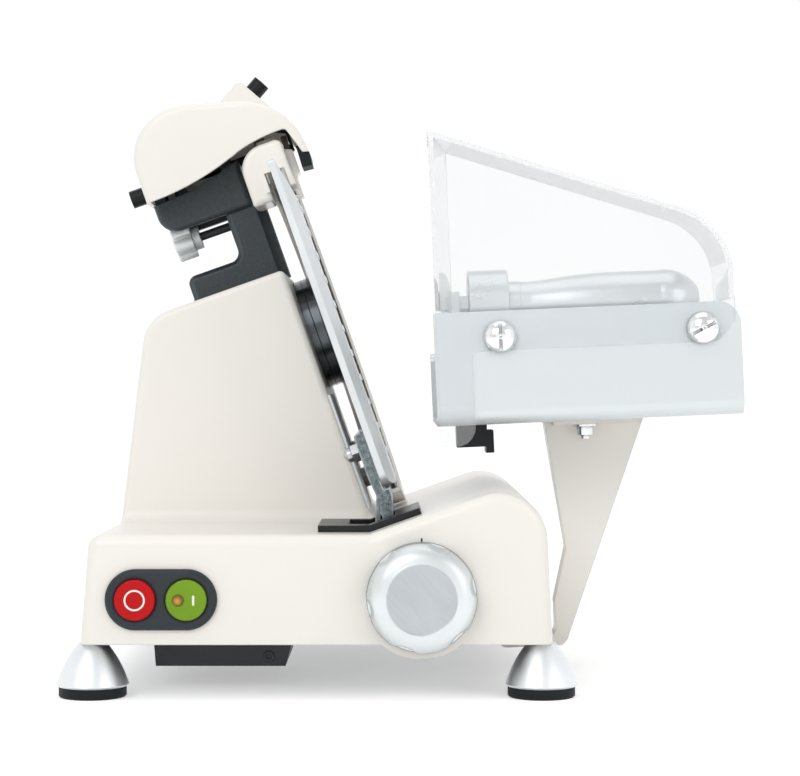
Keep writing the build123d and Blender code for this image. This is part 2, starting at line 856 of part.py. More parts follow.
with BuildPart() as ring_guard:
    swept = revolve(channel.sketch, axis=Axis.Z, revolution_arc=guard_end - guard_start, mode=Mode.PRIVATE)
    with Locations(cut_face(0)):
        add(swept.rotate(Axis.Z, guard_start))
    with BuildSketch(cut_face(guard_back)):
        with Locations((head_rear - 2, head_bottom + 2)):
            Rectangle(32 - head_rear, 14, align=(Align.MIN, Align.MIN))
    extrude(amount=guard_wall)
    add(guard_head.part)
    with BuildSketch(cut_face(leg_inner + 1)):
        with Locations((-40, guard_radius + 1.2)):
            Circle(3.3)
    extrude(amount=13)
    with BuildSketch(cut_face(tower_side)):
        with Locations(*standoffs):
            Circle(standoff_radius)
    extrude(amount=guard_back - tower_side)
    with BuildSketch(cut_face(tower_side - 1)):
        with Locations(*standoffs):
            Circle(guard_screw_bore)
    extrude(amount=guard_back + guard_wall - tower_side + 2, mode=Mode.SUBTRACT)
write(ring_guard, "ring_guard")

with BuildPart() as housing_screws:
    with BuildSketch(cut_face(guard_back + guard_wall)):
        with Locations(*standoffs):
            Circle(guard_screw_bore)
    extrude(amount=-(guard_back + guard_wall - tower_side + guard_screw_grip))
    with BuildSketch(cut_face(guard_back + guard_wall)):
        with Locations(*standoffs):
            Circle(guard_screw_bore + 2)
    extrude(amount=2)
write(housing_screws, "housing_screws")

# Blade cover: a flat disc in the blade's dish, held by a strap to the guard's head
cover_back = -2.6
cover_face = -0.6
strap_mid = (head_front + head_rear) / 2
strap_width = 18.0
with BuildPart() as blade_cover:
    with BuildSketch(cut_face(cover_back)):
        Circle(cover_radius)
    extrude(amount=cover_face - cover_back)
    with BuildSketch(cut_side(blade_y + strap_mid + strap_width / 2)):
        with BuildLine():
            Polyline(
                (cover_back, head_bottom - 26),
                (guard_lip - 0.8, head_bottom - 26),
                (guard_lip - 0.8, head_bottom - 2.5),
                (head_right + 2, head_bottom - 2.5),
                (head_right + 2, head_bottom + 12),
                (head_right + 5, head_bottom + 14),
                (head_right + 5, head_bottom + 30),
                (head_right, head_bottom + 32),
                (head_right, head_bottom),
                (guard_lip - 2.2, head_bottom),
                (guard_lip - 2.2, head_bottom - 12),
                (cover_face, head_bottom - 14),
                (cover_back, head_bottom - 14),
                close=True,
            )
        make_face()
    extrude(amount=strap_width)
write(blade_cover, "blade_cover")

deflector_front = tower_front - 4 - blade_y
deflector_rear = -20.0
deflector_top = -hub_radius - 5
deflector_bottom = deck + tower_cove + 0.6
with BuildPart() as slice_deflector:
    with BuildSketch(cut_face(tower_side)):
        with BuildLine():
            Polyline(
                (deflector_front, deflector_top),
                (deflector_rear, deflector_top),
                (deflector_rear, deflector_bottom + 20),
                (deflector_rear - 10, deflector_bottom),
                (deflector_front, deflector_bottom),
                close=True,
            )
        make_face()
    extrude(amount=deflector_thickness)
write(slice_deflector, "slice_deflector")

# Gauge plate with ribs along its food side, its bracket and the bolt that joins them
plate_front_y = depth(gauge_setback)
plate_rear_y = depth(gauge_rear)
rib_front = plate_front_y + gauge_lead + 2
rib_low = gauge_bottom + rib_margin
rib_high = gauge_top - gauge_top_lead
rib_count = int((rib_high - rib_low) / rib_pitch) + 1
rib_mid = (rib_low + rib_high) / 2
with BuildPart() as gauge_plate:
    with BuildSketch(cut_face(gauge_back)):
        with BuildLine():
            FilletPolyline(
                (plate_front_y - blade_y, gauge_bottom),
                (plate_rear_y - blade_y, gauge_bottom),
                (plate_rear_y - blade_y, gauge_top),
                (plate_front_y - blade_y, gauge_top),
                radius=[10, 4, 4, 2],
                close=True,
            )
        make_face()
        Circle(rim + guard_gap, mode=Mode.SUBTRACT)
    extrude(amount=gauge_face - gauge_back)
    with BuildSketch(cut_floor(gauge_bottom - 1)):
        with BuildLine():
            Polyline(
                (gauge_back + gauge_edge, plate_front_y),
                (gauge_face, plate_front_y + gauge_lead),
                (gauge_face + 2, plate_front_y + gauge_lead),
                (gauge_face + 2, plate_front_y - 2),
                (gauge_back + gauge_edge, plate_front_y - 2),
                close=True,
            )
        make_face()
    extrude(amount=gauge_top - gauge_bottom + 2, mode=Mode.SUBTRACT)
    with BuildSketch(cut_side(plate_rear_y + 1)):
        with BuildLine():
            Polyline(
                (gauge_back + gauge_edge, gauge_top),
                (gauge_face, gauge_top - gauge_top_lead),
                (gauge_face + 2, gauge_top - gauge_top_lead),
                (gauge_face + 2, gauge_top + 2),
                (gauge_back + gauge_edge, gauge_top + 2),
                close=True,
            )
        make_face()
    extrude(amount=plate_rear_y - plate_front_y + 2, mode=Mode.SUBTRACT)
    with BuildSketch(cut_face(gauge_face)):
        with Locations(((rib_front + plate_rear_y - 1) / 2 - blade_y, rib_mid)):
            with GridLocations(1, rib_pitch, 1, rib_count):
                Rectangle(plate_rear_y - 1 - rib_front, rib_width)
        Circle(rim + guard_gap + 2, mode=Mode.SUBTRACT)
    extrude(amount=rib_height)
    with BuildSketch(cut_face(gauge_back)):
        with Locations((depth(gauge_setback + 2 + bracket_width / 2) - blade_y, gauge_bolt_line)):
            Circle(gauge_bolt_radius)
    extrude(amount=gauge_face - gauge_back - 2, mode=Mode.SUBTRACT)
write(gauge_plate, "gauge_plate")

slide_top = deck - base_wall - 4
bracket_front = depth(gauge_setback + 2)
bracket_mid_y = bracket_front + bracket_width / 2 - blade_y
bracket_back = gauge_back
with BuildPart() as gauge_bracket:
    with BuildSketch(cut_face(bracket_back)):
        with Locations((bracket_front - blade_y, slide_top)):
            Rectangle(bracket_width, gauge_bolt_line + 13 - slide_top, align=(Align.MIN, Align.MIN))
    extrude(amount=-bracket_sheet)
    for edge in (bracket_front, bracket_front + bracket_width - bracket_sheet):
        with BuildSketch(cut_side(edge + bracket_sheet)):
            with BuildLine():
                Polyline(
                    (bracket_back - bracket_sheet, deck + 60),
                    (bracket_back - bracket_sheet - 4.2, deck + 58),
                    (bracket_back - bracket_sheet - 4.2, deck + 30),
                    (bracket_back - bracket_sheet - 3, deck + 19),
                    (slot_left + gauge_travel + 0.8, deck + 3),
                    (slot_left + gauge_travel + 0.8, slide_top),
                    (slot_right - 1.2, slide_top),
                    (slot_right - 1.2, deck + 3),
                    (slot_right + 2.7, deck + 15),
                    (slot_right + 2.7, deck + 21),
                    (bracket_back - bracket_sheet, deck + 21),
                    close=True,
                )
            make_face()
            with BuildLine():
                Polyline((-10.6, deck + 15), (-15.3, deck - 2), (-12.7, deck - 2), close=True)
            make_face(mode=Mode.SUBTRACT)
        extrude(amount=bracket_sheet)
    with BuildSketch(cut_face(bracket_back)):
        with Locations((bracket_mid_y, gauge_bolt_line)):
            Circle(gauge_bolt_radius + running)
    extrude(amount=-bracket_sheet, mode=Mode.SUBTRACT)
write(gauge_bracket, "gauge_bracket")

nut_face = bracket_back - bracket_sheet
washer_sheet = 1.6
nut_length = 7.5
dome_radius = 4.8
dome_neck = 3.0
with BuildPart() as gauge_bolt:
    with BuildSketch(cut_face(nut_face)):
        with Locations((bracket_mid_y, gauge_bolt_line)):
            Circle(8)
    extrude(amount=-washer_sheet)
    with BuildSketch(cut_face(nut_face - washer_sheet)):
        with Locations((bracket_mid_y, gauge_bolt_line)):
            RegularPolygon(6.4, 6)
    extrude(amount=-nut_length)
    with BuildSketch(cut_face(nut_face - washer_sheet - nut_length)):
        with Locations((bracket_mid_y, gauge_bolt_line)):
            Circle(dome_radius)
    extrude(amount=-dome_neck)
    with Locations(cut_face(nut_face - washer_sheet - nut_length - dome_neck)):
        with Locations((bracket_mid_y, gauge_bolt_line, 0)):
            Sphere(dome_radius, arc_size1=-90, arc_size2=0)
    with BuildSketch(cut_face(nut_face)):
        with Locations((bracket_mid_y, gauge_bolt_line)):
            Circle(gauge_bolt_radius)
    extrude(amount=bracket_sheet + gauge_face - gauge_back - 2.5)
write(gauge_bolt, "gauge_bolt")

# Gauge slide on its two rods, moved by the spiral cam on the knob's spindle
slide_bottom = gauge_rod_line - gauge_rod_radius - 3.5
slide_left = bracket_back - bracket_sheet - 14
slide_right = slide_left + 34
follower_u = knob_u - cam_root - follower_radius - follower_gap
cam_front = depth(52)
with BuildPart() as gauge_slide:
    with BuildSketch(cut_side(lug_rear - 4)):
        with Locations((slide_left, slide_bottom)):
            Rectangle(slide_right - slide_left, slide_top - slide_bottom, align=(Align.MIN, Align.MIN))
    extrude(amount=lug_rear - lug_front - 8)
    with BuildSketch(cut_face(slide_left - 1)):
        for side in (lug_front + 8, lug_front + 8 + gauge_rod_gap):
            with Locations((side - blade_y, gauge_rod_line)):
                Circle(gauge_rod_radius + running)
    extrude(amount=slide_right - slide_left + 2, mode=Mode.SUBTRACT)
    with BuildSketch(cut_side(cam_front - 2)):
        with Locations((follower_u - 5, knob_v - 5)):
            Rectangle(8, slide_bottom - knob_v + 6, align=(Align.MIN, Align.MIN))
    extrude(amount=6)
    with BuildSketch(cut_side(cam_front + cam_width + 1)):
        with Locations((follower_u, knob_v)):
            Circle(follower_radius)
    extrude(amount=cam_width + 4)
write(gauge_slide, "gauge_slide")

with BuildPart() as gauge_rods:
    with BuildSketch(cut_face(lug_left - 1)):
        for side in (lug_front + 8, lug_front + 8 + gauge_rod_gap):
            with Locations((side - blade_y, gauge_rod_line)):
                Circle(gauge_rod_radius)
    extrude(amount=lug_right + lug_length - lug_left + 2)
write(gauge_rods, "gauge_rods")

with BuildPart() as thickness_cam:
    rise = gauge_travel / math.radians(knob_turn)
    spiral = []
    for step in range(-10, int(knob_turn) + 11, 20):
        reach = cam_root + rise * math.radians(step)
        angle = math.radians(180 + step)
        spiral.append((knob_u + reach * math.cos(angle), knob_v + reach * math.sin(angle)))
    with BuildSketch(cut_side(cam_front + cam_width)):
        with BuildLine():
            Spline(*spiral)
            Line(spiral[-1], spiral[0])
        make_face()
        with Locations((knob_u, knob_v)):
            Circle(knob_spindle_radius, mode=Mode.SUBTRACT)
    extrude(amount=cam_width)
write(thickness_cam, "thickness_cam")

knob_back = base_front - 0.6
with BuildPart() as knob_spindle:
    with BuildSketch(front_plane(cam_front + cam_width + 2)):
        with Locations((knob_x, knob_z)):
            Circle(knob_spindle_radius)
    extrude(amount=cam_front + cam_width + 2 - knob_back + 8)
write(knob_spindle, "knob_spindle")

knob_rim = 4.5
scallop_reach = knob_radius + knob_scallop_radius - knob_scallop_depth
knob_shoulder = (knob_face_radius + 1.2, knob_height - 0.3)
knob_bulge = ((knob_radius + knob_face_radius) / 2 + 3.4, (knob_rim + knob_height) / 2 + 2.4)
with BuildSketch(Plane.XZ) as knob_section:
    with BuildLine():
        Polyline((0, 0), (knob_radius - 0.8, 0), (knob_radius, 0.8), (knob_radius, knob_rim))
        ThreePointArc((knob_radius, knob_rim), knob_bulge, knob_shoulder)
        Polyline(knob_shoulder, (knob_face_radius, knob_height), (knob_face_radius - 1, knob_height - 0.4))
        Polyline((knob_face_radius - 1, knob_height - 0.4), (0, knob_height - 0.4), (0, 0))
    make_face()
with BuildPart() as thickness_knob:
    turned = revolve(knob_section.sketch, axis=Axis.Z, mode=Mode.PRIVATE)
    knob_place = Plane(origin=(knob_x, knob_back, knob_z), x_dir=(1, 0, 0), z_dir=towards_front)
    with Locations(knob_place):
        add(turned)
    with BuildSketch(knob_place.offset(knob_lip)):
        with PolarLocations(scallop_reach, knob_scallops, start_angle=12):
            Circle(knob_scallop_radius)
    extrude(amount=knob_height, mode=Mode.SUBTRACT, taper=-8)
    with BuildSketch(knob_place):
        Circle(knob_spindle_radius)
    extrude(amount=8, mode=Mode.SUBTRACT)
write(thickness_knob, "thickness_knob")

# Slot seal on the deck, round the bracket's slot
seal_left = cut_point(0, 0)[0] - 8
seal_end = cut_point(12.0, deck)
seal_corner = on_line_at_z(base_top, deck)
seal_corner_up = on_line_at_z(base_top + seal_thickness, deck + seal_thickness)
seal_end_up = cut_point(12.0, deck + seal_thickness)
with BuildPart() as slot_seal:
    with BuildSketch(front_plane(slot_rear + 8)):
        with BuildLine():
            FilletPolyline(
                (seal_left, base_top),
                seal_corner,
                seal_end,
                seal_end_up,
                seal_corner_up,
                (seal_left, base_top + seal_thickness),
                radius=[0, deck_bend, 0, 0, deck_bend - seal_thickness, 0],
                close=True,
            )
        make_face()
    extrude(amount=slot_rear - slot_front + 24)
    with BuildSketch(cut_side(slot_rear)):
        with Locations((slot_left, deck - 12)):
            Rectangle(slot_right - slot_left, 40, align=(Align.MIN, Align.MIN))
    extrude(amount=slot_rear - slot_front, mode=Mode.SUBTRACT)
write(slot_seal, "slot_seal")

# Sharpener frame: a C that stands on the tower and carries the sharpener body
frame_front = depth(195)
frame_rear = depth(235)
frame_left = -88.5
frame_foot_top = tower_top + 21
column_left = -48.7
column_top = rim - 28
frame_step = 6.0
clamp_screw_radius = 3.0
frame_inner_radius = min(7, 0.9 * (clamp_line - clamp_screw_radius - frame_foot_top))
stone_y = depth(222)
with BuildPart() as sharpener_frame:
    with BuildSketch(cut_side(frame_rear)):
        with BuildLine():
            FilletPolyline(
                (frame_left - 4, tower_top),
                (tower_side, tower_top),
                (tower_side, column_top),
                (column_left, column_top),
                (column_left, frame_foot_top),
                (frame_left, frame_foot_top),
                (frame_left, tower_top + 5),
                radius=[0, 0, 0, 0, frame_inner_radius, 6, 4],
                close=True,
            )
        make_face()
    extrude(amount=frame_rear - frame_front)
    face_edges = sharpener_frame.edges().filter_by_position(Axis.Y, frame_front - 0.1, frame_front + 0.1)
    inner_edges = face_edges.filter_by(lambda e: cut_place(e.center().X, e.center().Z)[0] < column_left + 1)
    inner_edges = inner_edges.filter_by(lambda e: frame_foot_top - 1
                                        < cut_place(e.center().X, e.center().Z)[1] < column_top - 1)
    chamfer(inner_edges, 3)
    with BuildSketch(cut_side(frame_front + 14)):
        with Locations((tower_side - frame_step, tower_top)):
            Rectangle(frame_step + 1, column_top - tower_top, align=(Align.MIN, Align.MIN))
    extrude(amount=16, mode=Mode.SUBTRACT)
    with BuildSketch(cut_face(frame_left - 5)):
        with Locations((stone_y - blade_y, clamp_line)):
            Circle(clamp_radius + clamp_room)
    extrude(amount=column_left - frame_left - 16, mode=Mode.SUBTRACT)
write(sharpener_frame, "sharpener_frame")

body_front = depth(190)
body_rear = depth(240)
lugs_top = rim + 13
body_left = hood_left + 1.3
with BuildPart() as sharpener_body:
    with BuildSketch(cut_side(body_rear)):
        with BuildLine():
            FilletPolyline(
                (body_left, rim - 6.8),
                (body_left, column_top),
                (-28, column_top),
                (-28, rim + 4.5),
                (-46, rim - 0.7),
                (-64, rim - 4.9),
                radius=[0, 13, 3, 0, 0, 0],
                close=True,
            )
        make_face()
    extrude(amount=body_rear - body_front)
    face_edges = sharpener_body.edges().filter_by_position(Axis.Y, body_front - 0.1, body_front + 0.1)
    fillet(face_edges.filter_by(lambda e: cut_place(e.center().X, e.center().Z)[1] < rim - 6.9), 4)
    with BuildSketch(cut_side(depth(234))):
        with Locations((-100, column_top - 7)):
            Rectangle(100 + column_left, 18, align=(Align.MIN, Align.MIN))
    extrude(amount=depth(234) - depth(196), mode=Mode.SUBTRACT)
    with BuildSketch(cut_side(depth(235))):
        with Locations((hood_left + hood_wall, rim - 13)):
            Rectangle(7, 14, align=(Align.MIN, Align.MIN))
    extrude(amount=40)
    with BuildSketch(cut_side(stone_y + 7)):
        for lug_start in (-78, -42):
            with Locations((lug_start, rim - 9)):
                Rectangle(8, lugs_top - rim + 9, align=(Align.MIN, Align.MIN))
    extrude(amount=14)
    with BuildSketch(cut_face(-95)):
        with Locations((stone_y - blade_y, grind_line)):
            Circle(plunger_radius + running)
    extrude(amount=70, mode=Mode.SUBTRACT)
write(sharpener_body, "sharpener_body")

# Sharpener hood: a rounded shell, open below, with a boss for the upper push button
boss_width = 18.0
press_x = math.cos(math.radians(deburr_angle))
press_y = math.sin(math.radians(deburr_angle))
button_seat = (-3.3, rim + 48.9)
boss_half = 12.0
boss_run = 20.0
boss_back = 31.0


def hood_outline(inset, sink):
    """The hood's side outline from left foot over the crown to right tip, moved inwards by the inset."""
    start = (hood_left + inset, rim - 6.4 - sink)
    tip = (hood_right - inset, rim - 9.5 - sink)
    FilletPolyline(
        start,
        (hood_left + inset, rim + 38 - 0.66 * inset),
        (-60.1 + 0.07 * inset, rim + 52 - 1.06 * inset),
        (17.1 - 0.94 * inset, rim + 30.5 - 0.78 * inset),
        tip,
        radius=[34 - inset, 42 - inset, 47 - inset],
    )
    return start, tip


button_axis = Plane(
    origin=Vector(blade_x, stone_y, blade_z)
    + across * button_seat[0]
    + Vector(-sin_t, 0, cos_t) * button_seat[1],
    x_dir=(0, 1, 0),
    z_dir=across * press_x + Vector(-sin_t, 0, cos_t) * press_y,
)
with BuildPart() as sharpener_hood:
    with BuildSketch(cut_side(depth(sharpener_rear))):
        with BuildLine():
            start, tip = hood_outline(0, 0)
            Polyline(tip, (16.3, rim - 8.5), (10.7, rim + 9.4), (8.7, rim + 10.6))
            ThreePointArc((8.7, rim + 10.6), (-12, rim + 9.1), (-24, rim + 6.5))
            ThreePointArc((-24, rim + 6.5), (-55, rim - 2.6), start)
        make_face()
    extrude(amount=sharpener_rear - sharpener_front)
    ends = sharpener_hood.edges().filter_by(lambda e: cut_place(e.center().X, e.center().Z)[1] > rim + 13)
    rims = ends.filter_by_position(Axis.Y, depth(sharpener_front) - 0.1, depth(sharpener_front) + 0.1)
    rims += ends.filter_by_position(Axis.Y, depth(sharpener_rear) - 0.1, depth(sharpener_rear) + 0.1)
    fillet(rims, 5)
    with BuildSketch(cut_side(stone_y + boss_width / 2)):
        with BuildLine():
            face_top = (button_seat[0] - boss_half * press_y, button_seat[1] + boss_half * press_x)
            face_low = (button_seat[0] + boss_run * press_y, button_seat[1] - boss_run * press_x)
            FilletPolyline(
                face_top,
                face_low,
                (face_low[0] - boss_back * press_x, face_low[1] - boss_back * press_y),
                (face_top[0] - boss_back * press_x, face_top[1] - boss_back * press_y),
                radius=[4, 3, 0, 0],
                close=True,
            )
        make_face()
    extrude(amount=boss_width)
    with BuildSketch(cut_side(depth(sharpener_rear - hood_wall))):
        with BuildLine():
            start, tip = hood_outline(hood_wall, 10)
            Line(tip, start)
        make_face()
    extrude(amount=sharpener_rear - sharpener_front - 2 * hood_wall, mode=Mode.SUBTRACT)
    with BuildSketch(button_axis):
        Circle(press_button_radius + 2 * loose)
    extrude(amount=-(press_travel + 2 * loose), mode=Mode.SUBTRACT)
    with BuildSketch(button_axis):
        Circle(plunger_radius + running)
    extrude(amount=-34, mode=Mode.SUBTRACT)
    with BuildSketch(cut_face(hood_left - 1)):
        with Locations((stone_y - blade_y, grind_line)):
            Circle(plunger_radius + loose)
    extrude(amount=hood_wall + 2, mode=Mode.SUBTRACT)
write(sharpener_hood, "sharpener_hood")

with BuildPart() as hood_lip:
    with BuildSketch(cut_side(depth(sharpener_front + hood_wall) + loose + lip_length)):
        with BuildLine():
            Polyline(
                (12.6, rim - 18),
                (19.6, rim - 18.6),
                (hood_right, rim - 9.5),
                (15.6, rim - 9.5 + (hood_right - 15.6) / 4.3),
                (14.9, rim - 3),
                (13.2, rim - 3),
                (13.0, rim - 9),
                close=True,
            )
        make_face()
    extrude(amount=lip_length)
write(hood_lip, "hood_lip")

# Sharpener push buttons with their plungers, and the stones that they carry
stone_width = 8.0
grind_face = -6.5
stone_bore = 2.5
grind_start = hood_left - grind_travel - press_button_length - loose
with BuildPart() as grind_button:
    with BuildSketch(cut_face(grind_start)):
        with Locations((stone_y - blade_y, grind_line)):
            Circle(press_button_radius)
    extrude(amount=press_button_length)
    with BuildSketch(cut_face(grind_start + press_button_length - 1)):
        with Locations((stone_y - blade_y, grind_line)):
            Circle(plunger_radius)
    extrude(amount=grind_face - stone_width - loose - grind_start - press_button_length + 1)
    with BuildSketch(cut_face(grind_face - stone_width - 1)):
        with Locations((stone_y - blade_y, grind_line)):
            Circle(stone_bore)
    extrude(amount=stone_width + 1 - 1)
write(grind_button, "grind_button")

with BuildPart() as grind_stone:
    with BuildSketch(cut_face(grind_face)):
        with Locations((stone_y - blade_y, grind_line)):
            Circle(grind_stone_radius)
            Circle(stone_bore + running, mode=Mode.SUBTRACT)
    extrude(amount=-stone_width)
write(grind_stone, "grind_stone")

deburr_face = 4.6
deburr_width = 4.0
arm_gap = 0.4
with BuildPart() as deburr_button:
    with BuildSketch(button_axis):
        Circle(press_button_radius)
    extrude(amount=press_button_length)
    with BuildSketch(button_axis):
        Circle(plunger_radius)
    extrude(amount=-30)
    with BuildSketch(cut_side(stone_y + 3)):
        with BuildLine():
            Polyline(
                (-31, rim + 33.5),
                (-25, rim + 36.5),
                (8.4, rim + 18),
                (11.2, rim + 14.2),
                (11.2, deburr_line - 3),
                (deburr_face + deburr_width + arm_gap, deburr_line - 3),
                (deburr_face + deburr_width + arm_gap, rim + 14.3),
                close=True,
            )
        make_face()
    extrude(amount=6)
    with BuildSketch(cut_face(deburr_face + 0.8)):
        with Locations((stone_y - blade_y, deburr_line)):
            Circle(stone_bore)
    extrude(amount=deburr_width + 1)
write(deburr_button, "deburr_button")

with BuildPart() as deburr_stone:
    with BuildSketch(cut_face(deburr_face)):
        with Locations((stone_y - blade_y, deburr_line)):
            Circle(deburr_stone_radius)
            Circle(stone_bore + running, mode=Mode.SUBTRACT)
    extrude(amount=deburr_width)
write(deburr_stone, "deburr_stone")

clamp_start = -90.5
clamp_head = 13.5
clamp_collar = 5.5
with BuildPart() as clamp_knob:
    with BuildSketch(cut_face(clamp_start)):
        with Locations((stone_y - blade_y, clamp_line)):
            Circle(clamp_radius - 2.4)
            with PolarLocations(clamp_radius - 5, 5, start_angle=-90):
                Circle(5)
    extrude(amount=clamp_head)
    chamfer(clamp_knob.faces().sort_by(Axis.X)[0].edges(), 1)
    with BuildSketch(cut_face(clamp_start + clamp_head)):
        with Locations((stone_y - blade_y, clamp_line)):
            Circle(8)
    extrude(amount=clamp_collar)
    with BuildSketch(cut_face(clamp_start + clamp_head + clamp_collar)):
        with Locations((stone_y - blade_y, clamp_line)):
            Circle(clamp_screw_radius)
    extrude(amount=column_left - loose - clamp_start - clamp_head - clamp_collar)
write(clamp_knob, "clamp_knob")

# Carriage rod, sliding bush and arm
rod_start = depth(base_wall + rod_boss_depth - rod_seat)
rod_end = base_rear - base_wall - rod_boss_depth + rod_seat
arm_mid = depth(arm_setback)
with BuildPart() as carriage_rod:
    with BuildSketch(front_plane(rod_end)):
        with Locations((pivot_x, pivot_z)):
            Circle(rod_radius)
    extrude(amount=rod_end - rod_start)
write(carriage_rod, "carriage_rod")

flange_width = 2.0
with BuildPart() as carriage_bush:
    with BuildSketch(front_plane(arm_mid + bush_length / 2)):
        with Locations((pivot_x, pivot_z)):
            Circle(bush_radius)
    extrude(amount=bush_length)
    for start in (arm_mid + bush_length / 2, arm_mid - bush_length / 2 + flange_width):
        with BuildSketch(front_plane(start)):
            with Locations((pivot_x, pivot_z)):
                Circle(bush_radius + 2)
        extrude(amount=flange_width)
    with BuildSketch(front_plane(arm_mid + bush_length / 2 + 1)):
        with Locations((pivot_x, pivot_z)):
            Circle(rod_radius + running)
    extrude(amount=bush_length + 2, mode=Mode.SUBTRACT)
write(carriage_bush, "carriage_bush")

arm_hub_length = bush_length - 2 * flange_width - 2 * loose
arm_flange = 3.5
arm_flange_left = 31.0
arm_flange_right = 86.0
arm_bolt_a = 51.6
arm_bolt_places = [arm_mid - 21, arm_mid + 21]
arm_bolt_radius = 3.0
with BuildPart() as carriage_arm:
    with BuildSketch(tray_side(arm_mid + arm_thickness / 2)):
        with BuildLine():
            FilletPolyline(
                (26, tray_floor),
                (91, tray_floor),
                (35.2, -32),
                (31.5, -35.4),
                (-8.5, -35.4),
                (-8.5, 0),
                (6.5, 0),
                (6.5, -29),
                (28, -29),
                (28, -6.5),
                (36.8, 27.5),
                radius=[0, 0, 3, 2, 4, 0, 0, 4, 5, 3, 6],
                close=True,
            )
        make_face()
    extrude(amount=arm_thickness)
    with BuildSketch(tray_side(arm_mid + arm_hub_length / 2)):
        Circle(arm_hub_radius)
    extrude(amount=arm_hub_length)
    with BuildSketch(tray_side(arm_mid + 30)):
        with Locations((arm_flange_left, tray_floor - arm_flange)):
            Rectangle(arm_flange_right - arm_flange_left, arm_flange, align=(Align.MIN, Align.MIN))
    extrude(amount=60)
    with BuildSketch(tray_side(arm_mid + bush_length)):
        Circle(bush_radius + running)
    extrude(amount=2 * bush_length, mode=Mode.SUBTRACT)
    for y in arm_bolt_places:
        with Locations(Plane(origin=(pivot_x, y, pivot_z), x_dir=along_tray, z_dir=(-sin_s, 0, cos_s))):
            with Locations((arm_bolt_a, 0, tray_floor - arm_flange - 1)):
                Cylinder(arm_bolt_radius, arm_flange + 2, mode=Mode.SUBTRACT,
                         align=(Align.CENTER, Align.CENTER, Align.MIN))
write(carriage_arm, "carriage_arm")

# Tray: a folded sheet with a floor and a front wall
tray_front = depth(tray_setback)
tray_rear = tray_front + tray_depth
with BuildPart() as tray:
    with BuildSketch(tray_end(tray_left)):
        with BuildLine():
            FilletPolyline(
                (tray_rear, tray_floor),
                (tray_front, tray_floor),
                (tray_front, tray_top),
                (tray_front + tray_sheet, tray_top),
                (tray_front + tray_sheet, tray_floor + tray_sheet),
                (tray_rear, tray_floor + tray_sheet),
                radius=[0, tray_bend, 0, 0, tray_bend - tray_sheet, 0],
                close=True,
            )
        make_face()
    extrude(amount=tray_right - tray_left)
    corner_edges = tray.edges().filter_by(Axis.Y).sort_by(Axis.Z)[-2:]
    fillet(corner_edges.sort_by(Axis.X)[-1], 14)
    with BuildSketch(tray_side(tray_front + 20)):
        with Locations((-3.7, 164.4), (120.4, 164.4)):
            Circle(3)
    extrude(amount=30, mode=Mode.SUBTRACT)
    for y in arm_bolt_places:
        with Locations(Plane(origin=(pivot_x, y, pivot_z), x_dir=along_tray, z_dir=(-sin_s, 0, cos_s))):
            with Locations((arm_bolt_a, 0, tray_floor - 1)):
                Cylinder(arm_bolt_radius, tray_sheet + 2, mode=Mode.SUBTRACT,
                         align=(Align.CENTER, Align.CENTER, Align.MIN))
write(tray, "tray")

with BuildPart() as arm_bolts:
    for y in arm_bolt_places:
        with Locations(Plane(origin=(pivot_x, y, pivot_z), x_dir=along_tray, z_dir=(-sin_s, 0, cos_s))):
            with Locations((arm_bolt_a, 0, tray_floor - arm_flange)):
                Cylinder(
                    arm_bolt_radius,
                    arm_flange + tray_sheet,
                    align=(Align.CENTER, Align.CENTER, Align.MIN),
                )
                Cylinder(8, 1.5, align=(Align.CENTER, Align.CENTER, Align.MAX))
                Cylinder(5.5, 7, align=(Align.CENTER, Align.CENTER, Align.MAX))
                Cylinder(arm_bolt_radius, 9.5, align=(Align.CENTER, Align.CENTER, Align.MAX))
            with Locations((arm_bolt_a, 0, tray_floor + tray_sheet)):
                Cylinder(5.5, 2, align=(Align.CENTER, Align.CENTER, Align.MIN))
write(arm_bolts, "arm_bolts")

# Clear hand guard: front wall, slanting left flange, top and right flange
guard_back_y = tray_front - hand_guard_gap
guard_front = guard_back_y - hand_guard_sheet
flange_rear = tray_front + hand_guard_flange
flange_low = tray_top + 1.5
top_fall = math.tan(math.radians(hand_guard_slope))
top_right = hand_guard_top - (hand_guard_right - hand_guard_left) * top_fall
flange_slant = 10.0
inner_drop = hand_guard_sheet / math.cos(math.radians(hand_guard_slope))
tray_level = Plane(origin=(pivot_x, 0, pivot_z), x_dir=along_tray, z_dir=(-sin_s, 0, cos_s))
with BuildPart() as left_flange:
    with BuildSketch(tray_side(flange_rear)):
        with BuildLine():
            Polyline(
                (hand_guard_left, flange_low),
                (hand_guard_left + 20, flange_low),
                (hand_guard_left + 20, hand_guard_top - 20 * top_fall),
                (hand_guard_left, hand_guard_top),
                close=True,
            )
        make_face()
    extrude(amount=flange_rear - guard_front)
    with BuildSketch(tray_level.offset(flange_low)):
        with BuildLine():
            Polyline(
                (hand_guard_left, guard_front - 1),
                (hand_guard_left + hand_guard_sheet, guard_front - 1),
                (hand_guard_left + hand_guard_sheet + flange_slant, flange_rear + 1),
                (hand_guard_left + flange_slant, flange_rear + 1),
                close=True,
            )
        make_face()
    extrude(amount=hand_guard_top, mode=Mode.INTERSECT)

